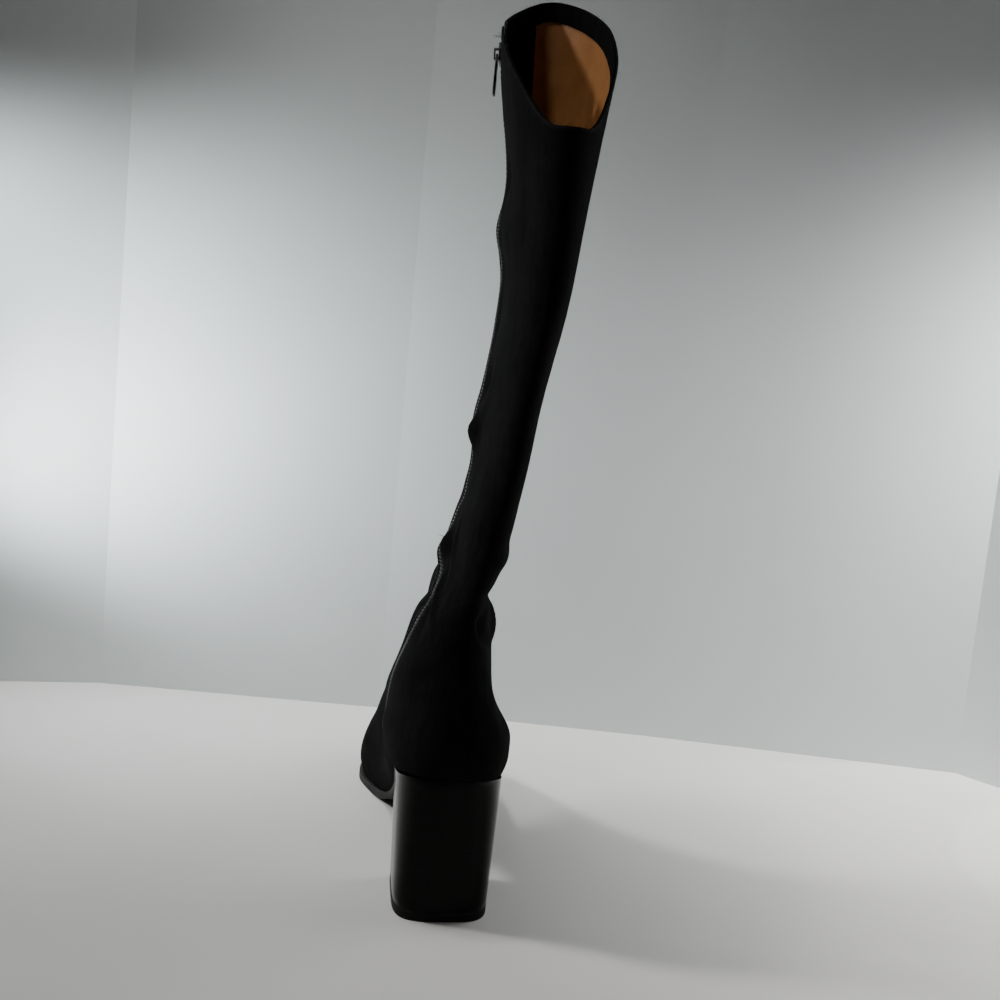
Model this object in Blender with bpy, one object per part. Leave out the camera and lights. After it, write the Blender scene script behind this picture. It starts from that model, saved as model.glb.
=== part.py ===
"""Over-the-knee boot for the right foot: upper, soles, block heel and side zip.

Metres, +Z up. The toe points along +Y and +X is the wearer's right, which is the outer (lateral) side.
The origin is on the floor, at the middle of the heel's base.
"""

import math
from typing import NamedTuple

import bmesh
import bpy
import numpy as np
from mathutils import Matrix, Vector

MM = 0.001

# Last and sole
HEEL_HEIGHT = 78.5 * MM          # floor to the outsole's underside, at the back of the seat
SHOE_BACK = -34.0 * MM           # back of the feather line
SHOE_LENGTH = 256.0 * MM         # feather line, back to toe
BACK_RADIUS = 29.0 * MM          # the outline's end radii
TOE_RADIUS = 15.0 * MM
TOE_INSET = 7.0 * MM             # how far the toe's tip lies towards the other foot
TOE_TURN = 90.0 * MM             # where the foot's middle line starts to turn in
SEAT_SLOPE = 0.27                # fall of the heel seat towards the toe
SEAT_FRONT = 36.0 * MM           # end of the straight seat
ARCH_BLEND = 8.0 * MM            # how far the arch runs on into the seat and the tread
TREAD_BACK = 133.0 * MM          # the flat spot under the ball
TREAD_FRONT = 168.0 * MM
TOE_SPRING = 9.0 * MM
SEAT_THICKNESS = 3.0 * MM        # outsole under the heel seat
TREAD_THICKNESS = 5.0 * MM       # outsole under the ball and toe
SOLE_LEDGE = 2.2 * MM            # how far the outsole stands out past the upper at the forefoot
SEAT_INSET = 3.2 * MM            # how far it lies in under the upper at the seat, inside the heel's cup
LEDGE_BACK = 24.0 * MM           # where it starts to come out
LEDGE_FRONT = 84.0 * MM          # and where it is fully out
LEDGE_STEPS = (0.55, 0.96)       # shares of the ledge at which the toe's end is cut into steps
INSOLE_THICKNESS = 2.4 * MM
INSOLE_INSET = 2.6 * MM          # from the feather line to the insole's edge
INSOLE_END_INSET = 3.4 * MM      # and to its first and last points

# Upper
WALL = 1.8 * MM                  # microsuede with its lining
FIT_GAP = 0.3 * MM               # between pieces that meet
COLUMNS = 52                     # points round each ring of the upper
FOOT_LEVELS = 15                 # rings from the feather line to the ankle
SHAFT_LEVELS = 28                # rings from the ankle to the collar
COLLAR_LEAN = 8.0 * MM           # how much higher the collar's outer side runs
BALL_START = 0.2                 # share of the foot where the heel's swell starts to pass into the ball's
BALL_BLEND = 0.35                # and the share over which it does

# Zip
ZIP_END_RING = 5                 # ring where the slit ends, above the arch
SLIT_HALF = 5.2 * MM
SLIT_HALF_TOP = 6.6 * MM
SLIT_FLARE = 0.88                # share of the shaft's height where the slit starts to widen
TAPE_DROP = 1.2 * MM             # tape's face below the suede's
TAPE_THICKNESS = 1.1 * MM
COIL_HALF = 2.9 * MM
COIL_PROUD = 1.1 * MM            # coil's top above the tape
PARTING_HALF = 1.1 * MM          # half of the slot between the two halves above the slider
CHAIN_END_GAP = 4.5 * MM         # chain's lower end to the end of the slit
CHAIN_SIDE_GAP = 0.8 * MM        # chain's edges to the slit's
SLIDER_DROP = 17.0 * MM          # slider's middle under the collar's edge
SLIDER_LENGTH = 10.0 * MM
SLIDER_HALF = 4.8 * MM
SLIDER_PLATE = 1.2 * MM          # thickness of its front plate
SLIDER_BACK_PLATE = 1.0 * MM
BACK_PLATE_WIDE = 0.85           # the back plate's share of the front plate's width
BACK_PLATE_LONG = 0.9            # and of its length
FLANGE_LONG = 0.96               # the turned-down sides' share of its length
FLANGE = 0.6 * MM                # its turned-down sides
NECK_HALF = 0.7 * MM             # post between its two plates
NECK_LENGTH = 3.0 * MM
BRIDGE_HALF = 0.9 * MM           # the bridge that holds the pull tab
BRIDGE_REACH = 3.2 * MM
BRIDGE_BAR = 0.9 * MM
BRIDGE_OPENING = 2.2 * MM
PULL_LENGTH = 22.0 * MM
PULL_THICKNESS = 1.3 * MM
PULL_HALF_TOP = 2.7 * MM
PULL_HALF_END = 3.5 * MM
PULL_CORNER = 2.0 * MM           # height of the cut corners at its end
PULL_TIP = 0.6                   # share of its width that is left between them
PULL_BAR = 0.6 * MM              # half of the crossbar under the bridge
BAR_PLAY = 0.5 * MM              # crossbar to the bridge's lower leg
PULL_WINDOW_HALF = 1.35 * MM
PULL_WINDOW_END = 6.6 * MM

# Heel
HEEL_BACK_TOP = -33.0 * MM
HEEL_BREAST_TOP = 25.0 * MM
HEEL_HALF_TOP = 29.0 * MM
HEEL_BACK_BASE = -25.0 * MM
HEEL_BREAST_BASE = 25.0 * MM
HEEL_HALF_BASE = 26.3 * MM
BREAST_RADIUS = 4.0 * MM
HEEL_SQUARE_BASE = 4.0           # powers of the rounded back: 2 is an ellipse
HEEL_SQUARE_TOP = 2.2
HEEL_ROUND = 0.62                # share of its length that the rounded back takes
HEEL_SIDE_FLARE = 1.15           # powers of the widening upwards, of the sides and of the back
HEEL_BACK_FLARE = 1.3
HEEL_SHIFT = -0.6 * MM           # its middle lies a little to the inner side
TOP_PIECE = 5.0 * MM             # thickness of the rubber top piece
HEEL_RINGS = 5
HEEL_BACK_POINTS = 17
HEEL_CORNER_POINTS = 5


class OutlineRow(NamedTuple):
    """Half widths of the feather line at one place along the foot."""

    along: float      # 0 at the back, 1 at the toe
    medial: float     # millimetres
    lateral: float


OUTLINE = (
    OutlineRow(0.06, 22.0, 22.5),
    OutlineRow(0.14, 28.5, 29.0),
    OutlineRow(0.26, 29.0, 30.5),
    OutlineRow(0.42, 23.5, 37.5),
    OutlineRow(0.57, 24.0, 44.5),
    OutlineRow(0.69, 33.5, 45.0),
    OutlineRow(0.78, 39.5, 40.0),
    OutlineRow(0.87, 34.0, 30.0),
    OutlineRow(0.94, 25.0, 20.5),
)


class ArchRow(NamedTuple):
    """Height of the outsole's underside between the heel seat and the tread, in millimetres."""

    forward: float
    height: float


ARCH = (
    ArchRow(53.0, 52.5),
    ArchRow(70.0, 40.5),
    ArchRow(87.0, 26.5),
    ArchRow(103.0, 13.5),
    ArchRow(119.0, 4.2),
)


class FootRow(NamedTuple):
    """One ring round the foot, in millimetres; it runs from the back of the heel to the vamp's ridge."""

    back_y: float
    back_z: float       # heights of the ring's two ends
    front_y: float
    front_z: float
    heel_swell: float   # added to the outline's half widths at the heel
    ball_swell: float   # and at the ball
    waist_swell: float  # and at the inner side of the waist, where the sole is narrow
    medial: float       # half widths of the plain oval that the ring turns into
    lateral: float
    foot: float         # 1 for the foot's own outline, 0 for the oval
    follow: float       # 1 keeps the sole's arch, 0 is a straight ring
    from_floor: bool    # whether its heights count from the floor, or from the sole


FOOT_ROWS = (
    FootRow(-34.0, 0.0, 222.0, 0.0, 0.0, 0.0, 0.0, 36.0, 36.0, 1.00, 1.00, False),
    FootRow(-36.2, 8.0, 223.8, 7.5, 3.6, 2.5, 5.0, 36.0, 36.0, 1.00, 1.00, False),
    FootRow(-36.8, 18.0, 219.5, 16.5, 3.6, 3.5, 8.0, 36.0, 36.0, 1.00, 0.96, False),
    FootRow(-36.4, 109.0, 205.5, 38.5, 3.5, 1.5, 9.0, 44.0, 34.0, 0.82, 0.42, True),
    FootRow(-35.2, 118.5, 180.5, 50.5, -2.5, -2.0, 7.0, 45.0, 29.5, 0.52, 0.16, True),
    FootRow(-33.6, 128.0, 151.0, 69.0, -6.0, -6.0, 0.0, 42.5, 23.0, 0.26, 0.05, True),
    FootRow(-32.2, 137.5, 122.0, 95.0, -6.0, -6.0, 0.0, 36.5, 20.5, 0.10, 0.0, True),
    FootRow(-31.2, 148.0, 96.5, 128.0, -6.0, -6.0, 0.0, 28.0, 18.5, 0.0, 0.0, True),
)


class ShaftRow(NamedTuple):
    """One level ring round the shaft, in millimetres."""

    height: float
    back_y: float
    front_y: float
    medial_x: float
    lateral_x: float
    back_shift: float   # how far its back line lies towards the other leg


SHAFT_ROWS = (
    ShaftRow(164.0, -30.5, 83.0, -18.5, 14.0, 0.0),
    ShaftRow(188.0, -30.8, 81.0, -9.0, 17.5, 0.0),
    ShaftRow(213.0, -32.3, 86.5, -6.0, 23.0, 0.0),
    ShaftRow(240.0, -35.5, 95.0, 0.5, 26.7, 0.0),
    ShaftRow(280.0, -40.0, 105.0, 3.5, 31.5, 0.5),
    ShaftRow(325.0, -43.5, 114.0, 8.5, 40.5, 1.5),
    ShaftRow(370.0, -45.0, 119.0, 10.0, 47.0, 3.5),
    ShaftRow(415.0, -45.0, 121.0, 6.5, 53.5, 5.5),
    ShaftRow(455.0, -44.0, 121.0, -0.7, 59.5, 6.0),
    ShaftRow(490.0, -43.0, 120.0, -3.5, 60.3, 6.0),
    ShaftRow(525.0, -42.0, 119.0, -1.5, 58.5, 6.0),
    ShaftRow(560.0, -42.0, 119.0, -2.0, 57.5, 6.0),
)


class Fold(NamedTuple):
    """A slack bulge (out > 0) or dent (out < 0) of the shaft, in millimetres and degrees."""

    height: float
    angle: float
    tall: float
    wide: float
    out: float


FOLDS = (
    Fold(376.0, -64.0, 12.0, 30.0, 7.5),
    Fold(264.0, -66.0, 12.0, 28.0, 4.0),
    Fold(194.0, -70.0, 12.0, 28.0, 3.5),
    Fold(147.0, -62.0, 15.0, 26.0, 3.5),
    Fold(156.0, 82.0, 9.0, 34.0, 3.5),
)


class ZipRow(NamedTuple):
    """Place of the zip round one level of the upper."""

    level: float
    angle: float      # degrees round the ring, 0 at the front and negative on the medial side


ZIP_RUN = (
    ZipRow(0.0, -90.0),
    ZipRow(1.3, -94.0),
    ZipRow(2.6, -102.0),
    ZipRow(4.0, -101.0),
    ZipRow(6.0, -97.0),
    ZipRow(8.0, -92.0),
    ZipRow(9.5, -82.0),
    ZipRow(12.5, -73.0),
    ZipRow(19.0, -62.0),
)


class CollarRow(NamedTuple):
    """Height of the collar's edge, in millimetres, between the back (0) and the front (1)."""

    forward: float
    height: float


COLLAR = (
    CollarRow(0.0, 408.5),
    CollarRow(0.04, 410.0),
    CollarRow(0.11, 417.0),
    CollarRow(0.25, 438.5),
    CollarRow(0.5, 474.0),
    CollarRow(1.0, 524.5),
)

SHAFT_ROUNDNESS = 0.92           # power of the sine round the shaft: below 1 is squarer than an ellipse
WAIST = 0.40                     # place and spread of the waist along the foot
WAIST_SPREAD = 0.17


# ---------------------------------------------------------------------------------------------------------
# Shape functions

def smooth_step(value):
    """Ease from 0 to 1."""
    held = np.clip(value, 0.0, 1.0)
    return held * held * (3.0 - 2.0 * held)


def catmull_rom(before, start, end, after, part):
    """Point at `part` of the way from start to end on a Catmull-Rom curve."""
    return 0.5 * (2.0 * start + (end - before) * part
                  + (2.0 * before - 5.0 * start + 4.0 * end - after) * part ** 2
                  + (3.0 * start - before - 3.0 * end + after) * part ** 3)


def curve_through(places, values, at):
    """Smooth curve through uneven places: a cubic Hermite with slopes taken over each point's neighbours."""
    places = np.asarray(places, float)
    values = np.asarray(values, float)
    slopes = np.gradient(values, places)
    at = np.clip(np.asarray(at, float), places[0], places[-1])
    index = np.clip(np.searchsorted(places, at) - 1, 0, len(places) - 2)
    span = places[index + 1] - places[index]
    part = (at - places[index]) / span
    return ((1 + 2 * part) * (1 - part) ** 2 * values[index]
            + part * (1 - part) ** 2 * span * slopes[index]
            + part ** 2 * (3 - 2 * part) * values[index + 1]
            + part ** 2 * (part - 1) * span * slopes[index + 1])


def outline_form(along, side):
    """Half width of the feather line, divided by the half ellipse sqrt(4 t (1 - t))."""
    rows = [(row.along, getattr(row, side) * MM) for row in OUTLINE]
    places = [0.0] + [place for place, _ in rows] + [1.0]
    forms = [math.sqrt(2.0 * BACK_RADIUS * SHOE_LENGTH) / 2.0]
    forms += [half / math.sqrt(4.0 * place * (1.0 - place)) for place, half in rows]
    forms += [math.sqrt(2.0 * TOE_RADIUS * SHOE_LENGTH) / 2.0]
    return curve_through(places, forms, along)


def toe_drift(forward):
    """Sideways place of the foot's middle line: straight to the ball, then in towards the toe."""
    return -TOE_INSET * smooth_step((forward - TOE_TURN) / (SHOE_BACK + SHOE_LENGTH - TOE_TURN))


def underside(forward):
    """Height of the outsole's underside."""
    forward = np.asarray(forward, float)
    seat = HEEL_HEIGHT - SEAT_SLOPE * (forward - SHOE_BACK)
    places = [SEAT_FRONT - ARCH_BLEND, SEAT_FRONT] + [row.forward * MM for row in ARCH]
    places += [TREAD_BACK, TREAD_BACK + ARCH_BLEND]
    heights = [HEEL_HEIGHT - SEAT_SLOPE * (place - SHOE_BACK) for place in places[:2]]
    heights += [row.height * MM for row in ARCH] + [0.0, 0.0]
    arch = curve_through(places, heights, forward)
    toe = TOE_SPRING * (np.clip(forward - TREAD_FRONT, 0.0, None)
                        / (SHOE_BACK + SHOE_LENGTH - TREAD_FRONT)) ** 2
    return np.where(forward < SEAT_FRONT, seat, np.where(forward < TREAD_BACK, np.maximum(arch, 0.0), toe))


def sole_thickness(forward):
    """Thickness of the outsole, thin under the seat and full under the ball."""
    return SEAT_THICKNESS + (TREAD_THICKNESS - SEAT_THICKNESS) * smooth_step(
        (np.asarray(forward, float) - SEAT_FRONT) / (TREAD_BACK - SEAT_FRONT))


def even_angles():
    """Angles of the feather line's points: the same pairs left and right, 0 at the toe."""
    step = 2.0 * math.pi / COLUMNS
    return math.radians(ZIP_RUN[0].angle) + step * (np.arange(COLUMNS) + 0.5)


def stations():
    """Places along the foot where the soles and the feather line all have their points."""
    middle = SHOE_BACK + SHOE_LENGTH / 2.0
    return np.unique(np.round(middle + SHOE_LENGTH / 2.0 * np.cos(even_angles()), 7))


def sole_top(forward):
    """Height of the outsole's upper face, straight between the stations."""
    places = stations()
    return np.interp(forward, places, underside(places) + sole_thickness(places))


def foot_ring(row, angle):
    """Points of one foot ring at the given angles."""
    along = (1.0 + np.cos(angle)) / 2.0
    forward = (row.back_y + (row.front_y - row.back_y) * along) * MM
    medial_side = np.sin(angle) < 0.0
    own = np.where(medial_side, outline_form(along, "medial"), outline_form(along, "lateral"))
    toward_ball = smooth_step((along - BALL_START) / BALL_BLEND)
    own = own + (row.heel_swell * (1.0 - toward_ball) + row.ball_swell * toward_ball) * MM
    own = own + row.waist_swell * MM * medial_side * np.exp(-((along - WAIST) / WAIST_SPREAD) ** 2)
    oval = np.where(medial_side, row.medial, row.lateral) * MM
    sideways = (row.foot * own + (1.0 - row.foot) * oval) * np.sin(angle)
    level = (row.back_z + (row.front_z - row.back_z) * along) * MM
    sole = sole_top(np.clip(forward, SHOE_BACK, SHOE_BACK + SHOE_LENGTH)) + FIT_GAP
    sole_back = HEEL_HEIGHT + SEAT_THICKNESS
    sole_front = TOE_SPRING + TREAD_THICKNESS
    straight_sole = sole_back + (sole_front - sole_back) * along
    if row.follow == 1.0:
        height = sole + level
    else:
        straight = level if row.from_floor else level + straight_sole
        height = straight + row.follow * (sole - straight_sole)
    drift = toe_drift(forward) * (row.foot if row.follow < 1.0 else 1.0)
    return np.stack([sideways + drift, forward, height], axis=-1)


def shaft_ring(row, angle):
    """Points of one level ring of the shaft at the given angles."""
    middle_x = (row.medial_x + row.lateral_x) / 2.0
    half_x = (row.lateral_x - row.medial_x) / 2.0
    middle_y = (row.back_y + row.front_y) / 2.0
    half_y = (row.front_y - row.back_y) / 2.0
    sine = np.sin(angle)
    sideways = middle_x + half_x * np.sign(sine) * np.abs(sine) ** SHAFT_ROUNDNESS
    forward = middle_y + half_y * np.cos(angle)
    sideways = sideways - row.back_shift * ((1.0 - np.cos(angle)) / 2.0) ** 2
    return np.stack([sideways * MM, forward * MM, np.full_like(sideways, row.height * MM)], axis=-1)


def plain_surface(level, angle):
    """The upper's outer surface without folds: level counts the rows of both tables from the feather line."""
    rings = [foot_ring(row, angle) for row in FOOT_ROWS] + [shaft_ring(row, angle) for row in SHAFT_ROWS]
    rings = np.stack(rings)
    last = len(rings) - 1
    level = np.broadcast_to(np.clip(level, 0.0, last - 1e-6), np.shape(angle))
    index = level.astype(int)
    column = np.arange(len(angle))
    picks = [rings[np.clip(index + shift, 0, last), column] for shift in (-1, 0, 1, 2)]
    return catmull_rom(*picks, (level - index)[:, None])


def surface(level, angle):
    """The upper's outer surface with its folds, each a soft bump along the surface's level normal."""
    points = plain_surface(level, angle)
    nudge = 0.02
    tangent = plain_surface(level, angle + nudge) - plain_surface(level, angle - nudge)
    outward = np.stack([-tangent[:, 1], tangent[:, 0], np.zeros(len(points))], axis=-1)
    outward /= np.linalg.norm(outward, axis=1)[:, None]
    for fold in FOLDS:
        turn = np.degrees((angle - math.radians(fold.angle) + math.pi) % (2.0 * math.pi) - math.pi)
        rise = (points[:, 2] / MM - fold.height) / fold.tall
        size = fold.out * MM * np.exp(-rise ** 2 - (turn / fold.wide) ** 2)
        points = points + outward * size[:, None]
    return points


def collar_height(angle):
    """Height of the collar's edge: high over the knee, cut down behind it."""
    front_to_back = (1.0 + np.cos(angle)) / 2.0
    middle = curve_through([row.forward for row in COLLAR], [row.height * MM for row in COLLAR], front_to_back)
    return middle + COLLAR_LEAN * np.sin(angle) * front_to_back


def collar_level(angle):
    """Level of the surface at which each angle reaches the collar's edge."""
    heights = np.array([row.height * MM for row in SHAFT_ROWS])
    tries = np.linspace(0.0, len(heights) - 1.0, 400)
    index = np.clip(tries.astype(int), 0, len(heights) - 2)
    picks = [heights[np.clip(index + shift, 0, len(heights) - 1)] for shift in (-1, 0, 1, 2)]
    reached = catmull_rom(*picks, tries - index)
    return len(FOOT_ROWS) + np.interp(collar_height(angle), reached, tries)


def zip_angle(level):
    """Angle of the zip's middle at a level of the upper."""
    return np.radians(curve_through([row.level for row in ZIP_RUN], [row.angle for row in ZIP_RUN], level))


def ring_angles(level, half_slit):
    """Angles of one ring's points, evenly spaced from the slit's one edge round to the other."""
    centre = float(zip_angle(level))
    nudge = 0.01
    pair = plain_surface(level, np.array([centre - nudge, centre + nudge]))
    per_turn = np.linalg.norm(pair[1] - pair[0]) / (2.0 * nudge)
    even_half = math.pi / COLUMNS
    half = even_half + (half_slit / per_turn - even_half) * float(smooth_step(level / 2.0))
    return np.linspace(centre + half, centre + 2.0 * math.pi - half, COLUMNS)


def upper_rings():
    """Rings of points on the upper's outer surface, from the feather line to the collar."""
    ankle = float(len(FOOT_ROWS))
    rings = []
    for step in range(FOOT_LEVELS):
        level = ankle * step / FOOT_LEVELS
        rings.append(surface(level, ring_angles(level, SLIT_HALF)))
    collar_at_zip = float(collar_level(zip_angle(ZIP_RUN[-1].level))[()])
    for step in range(SHAFT_LEVELS + 1):
        part = step / SHAFT_LEVELS
        opening = float(smooth_step((part - SLIT_FLARE) / (1.0 - SLIT_FLARE)))
        half_slit = SLIT_HALF + (SLIT_HALF_TOP - SLIT_HALF) * opening
        angles = ring_angles(ankle + (collar_at_zip - ankle) * part, half_slit)
        rings.append(surface(ankle + (collar_level(angles) - ankle) * part, angles))
    return rings


# ---------------------------------------------------------------------------------------------------------
# Modelling helpers

def new_material(name, colour, roughness, metallic=0.0):
    """A Principled material."""
    material = bpy.data.materials.new(name)
    material.use_nodes = True
    shader = material.node_tree.nodes["Principled BSDF"]
    shader.inputs["Base Color"].default_value = (*colour, 1.0)
    shader.inputs["Roughness"].default_value = roughness
    shader.inputs["Metallic"].default_value = metallic
    return material


def new_object(name, mesh_builder, material, sharp_degrees=35.0):
    """An object from a bmesh, shaded smooth between its sharp edges."""
    mesh = bpy.data.meshes.new(name)
    bmesh.ops.recalc_face_normals(mesh_builder, faces=mesh_builder.faces)
    mesh_builder.to_mesh(mesh)
    mesh_builder.free()
    mesh.materials.append(material)
    mesh.shade_smooth()
    mesh.set_sharp_from_angle(angle=math.radians(sharp_degrees))
    built = bpy.data.objects.new(name, mesh)
    bpy.context.scene.collection.objects.link(built)
    return built


def extrude_rows(builder, rows, closed):
    """A sheet made by extruding the first row of points to each next one; returns its rows of vertices."""
    first = [builder.verts.new(point) for point in rows[0]]
    pairs = list(zip(first, first[1:] + first[:1])) if closed else list(zip(first, first[1:]))
    edges = [builder.edges.new(pair) for pair in pairs]
    lines = [first]
    for row in rows[1:]:
        made = bmesh.ops.extrude_edge_only(builder, edges=edges)["geom"]
        new_edges = {item for item in made if isinstance(item, bmesh.types.BMEdge)}
        new_verts = {item for item in made if isinstance(item, bmesh.types.BMVert)}
        line = []
        for old in lines[-1]:
            line.append(next(edge.other_vert(old) for edge in old.link_edges
                             if edge.other_vert(old) in new_verts))
        for vert, point in zip(line, row):
            vert.co = point
        edges = [edge for edge in new_edges if all(vert in new_verts for vert in edge.verts)]
        lines.append(line)
    return lines


def add_wall(built, thickness):
    """Gives a sheet its thickness, inwards from its outer face."""
    solidify = built.modifiers.new("wall", "SOLIDIFY")
    solidify.thickness = thickness
    solidify.offset = -1.0
    solidify.use_even_offset = True
    return solidify


def ladder(builder, places, half_medial, half_lateral, middle, low, high):
    """A slab along the foot: at each place a flat rung from its medial to its lateral edge."""
    rows = []
    for index, place in enumerate(places):
        left = middle[index] - half_medial[index]
        right = middle[index] + half_lateral[index]
        rows.append([(left, place, low[index]), (right, place, low[index]),
                     (right, place, high[index]), (left, place, high[index])])
    lines = extrude_rows(builder, rows, closed=True)
    for line in (lines[0], lines[-1]):
        builder.faces.new(line)


def union(built, other):
    """Joins another closed solid into an object."""
    join = built.modifiers.new("join_" + other.name, "BOOLEAN")
    join.operation = "UNION"
    join.solver = "EXACT"
    join.object = other
    hide_helper(other)


def cut(built, cutter):
    """Cuts a helper solid out of an object."""
    difference = built.modifiers.new("cut_" + cutter.name, "BOOLEAN")
    difference.operation = "DIFFERENCE"
    difference.solver = "EXACT"
    difference.object = cutter
    hide_helper(cutter)


def hide_helper(helper):
    """Marks a cutter or joined helper, which is no piece of its own."""
    helper.hide_render = True
    helper.display_type = "WIRE"


# ---------------------------------------------------------------------------------------------------------
# Pieces

def make_upper(material):
    """The hollow upper: rings extruded up from the feather line, slit for the zip, then given its wall."""
    builder = bmesh.new()
    lines = extrude_rows(builder, upper_rings(), closed=True)
    slit = [face for face in builder.faces
            if any(line[0] in face.verts and line[-1] in face.verts for line in lines[ZIP_END_RING:])
            and not any(vert in face.verts for vert in lines[ZIP_END_RING - 1])]
    bmesh.ops.delete(builder, geom=slit, context="FACES")
    built = new_object("upper", builder, material, sharp_degrees=60.0)
    add_wall(built, WALL)
    return built


def sole_outline(places, reach):
    """Half widths and middle line of the feather line's outline, moved out by `reach` at each place."""
    length = SHOE_LENGTH + 2.0 * reach
    along = (places - SHOE_BACK + reach) / length
    own = np.clip((places - SHOE_BACK) / SHOE_LENGTH, 0.0, 1.0)
    ellipse = np.sqrt(np.clip(4.0 * along * (1.0 - along), 0.0, None))
    medial = (outline_form(own, "medial") + reach) * ellipse
    lateral = (outline_form(own, "lateral") + reach) * ellipse
    return medial, lateral, toe_drift(places)


def sole_reach(forward):
    """How far the outsole's edge stands out from the feather line: in at the seat, out at the forefoot."""
    part = smooth_step((np.asarray(forward, float) - LEDGE_BACK) / (LEDGE_FRONT - LEDGE_BACK))
    return -SEAT_INSET + (SOLE_LEDGE + SEAT_INSET) * part


def sole_slab(name, material, spare, lift):
    """The outsole's slab, made larger all round by `spare` and higher by `lift`."""
    inner = stations()
    inner = inner[inner > SHOE_BACK + SEAT_INSET + 1.0 * MM]
    toe = SHOE_BACK + SHOE_LENGTH + SOLE_LEDGE * np.array(LEDGE_STEPS)
    places = np.concatenate([[SHOE_BACK + SEAT_INSET + FIT_GAP - spare], inner, toe])
    medial, lateral, middle = sole_outline(places, sole_reach(places) + spare)
    low = underside(places) - spare
    high = np.where(places <= inner[-1], sole_top(places), underside(places) + sole_thickness(places)) + lift
    builder = bmesh.new()
    ladder(builder, places, medial, lateral, middle, low, high)
    return new_object(name, builder, material)


def make_outsole(material):
    """One full-length sole with its arch, flat tread and toe spring."""
    return sole_slab("outsole", material, 0.0, 0.0)


def make_insole(material):
    """The insole, inside the upper and on the sole."""
    places = stations()
    places = places[(places > SHOE_BACK + INSOLE_END_INSET)
                    & (places < SHOE_BACK + SHOE_LENGTH - INSOLE_END_INSET)]
    medial, lateral, middle = sole_outline(places, np.full_like(places, -INSOLE_INSET))
    low = sole_top(places) + FIT_GAP
    builder = bmesh.new()
    ladder(builder, places, medial, lateral, middle, low, low + INSOLE_THICKNESS)
    return new_object("insole", builder, material)


def heel_outline(half, back, breast, squareness):
    """The heel's outline at one height: a rounded back, straight sides and a flat breast."""
    depth = (breast - back) * HEEL_ROUND
    angles = np.linspace(-math.pi / 2.0, math.pi / 2.0, HEEL_BACK_POINTS)
    points = []
    for angle in angles:
        across = half * math.copysign(abs(math.sin(angle)) ** (2.0 / squareness), math.sin(angle))
        forward = back + depth * (1.0 - abs(math.cos(angle)) ** (2.0 / squareness))
        points.append((across, forward))
    for turn in np.linspace(0.0, math.pi / 2.0, HEEL_CORNER_POINTS):
        points.append((half - BREAST_RADIUS * (1.0 - math.cos(turn)),
                       breast - BREAST_RADIUS * (1.0 - math.sin(turn))))
    for turn in np.linspace(math.pi / 2.0, 0.0, HEEL_CORNER_POINTS):
        points.append((-half + BREAST_RADIUS * (1.0 - math.cos(turn)),
                       breast - BREAST_RADIUS * (1.0 - math.sin(turn))))
    return points


def heel_ring(part, height_of):
    """The heel's ring `part` of the way from the base to its upper rim."""
    half = HEEL_HALF_BASE + (HEEL_HALF_TOP - HEEL_HALF_BASE) * part ** HEEL_SIDE_FLARE
    back = HEEL_BACK_BASE + (HEEL_BACK_TOP - HEEL_BACK_BASE) * part ** HEEL_BACK_FLARE
    breast = HEEL_BREAST_BASE + (HEEL_BREAST_TOP - HEEL_BREAST_BASE) * part
    squareness = HEEL_SQUARE_BASE + (HEEL_SQUARE_TOP - HEEL_SQUARE_BASE) * part
    return [(across + HEEL_SHIFT, forward, height_of(forward)) for across, forward in
            heel_outline(half, back, breast, squareness)]


def make_heel(material):
    """The block heel, tapering down to the top piece, with a cup for the outsole's seat."""
    base = TOP_PIECE + FIT_GAP

    def rim(forward):
        return HEEL_HEIGHT + SEAT_THICKNESS - SEAT_SLOPE * (forward - SHOE_BACK)

    rows = []
    for step in range(HEEL_RINGS):
        part = step / (HEEL_RINGS - 1)
        rows.append(heel_ring(part, lambda forward, part=part: base + (rim(forward) - base) * part))
    builder = bmesh.new()
    lines = extrude_rows(builder, rows, closed=True)
    for line in (lines[0], lines[-1]):
        builder.faces.new(line)
    built = new_object("heel_block", builder, material)
    cut(built, sole_slab("seat_cup", material, FIT_GAP, SEAT_THICKNESS))
    return built


def make_top_piece(material):
    """The rubber top piece that the heel stands on."""
    builder = bmesh.new()
    outline = heel_ring(0.0, lambda forward: 0.0)
    face = builder.faces.new([builder.verts.new(point) for point in outline])
    made = bmesh.ops.extrude_face_region(builder, geom=[face])["geom"]
    lifted = [item for item in made if isinstance(item, bmesh.types.BMVert)]
    bmesh.ops.translate(builder, verts=lifted, vec=(0.0, 0.0, TOP_PIECE))
    return new_object("heel_top_piece", builder, material)


class ZipFrame(NamedTuple):
    """The slit's two edges and outward direction at each of its rings."""

    one_edge: np.ndarray
    other_edge: np.ndarray
    outward: np.ndarray


def zip_frame():
    """The slit as the upper's rings leave it, from its end above the arch to the collar."""
    rings = upper_rings()[ZIP_END_RING:]
    one = np.array([ring[0] for ring in rings])
    other = np.array([ring[-1] for ring in rings])
    along = np.gradient((one + other) / 2.0, axis=0)
    outward = np.cross(one - other, along)
    outward /= np.linalg.norm(outward, axis=1)[:, None]
    if outward[len(outward) // 2][0] > 0.0:
        outward = -outward
    return ZipFrame(one, other, outward)


def distances_from_top(middle):
    """Distance down the zip's middle line from the collar to each of its points."""
    steps = np.linalg.norm(np.diff(middle[::-1], axis=0), axis=1)
    return np.concatenate([[0.0], np.cumsum(steps)])[::-1]


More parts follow.
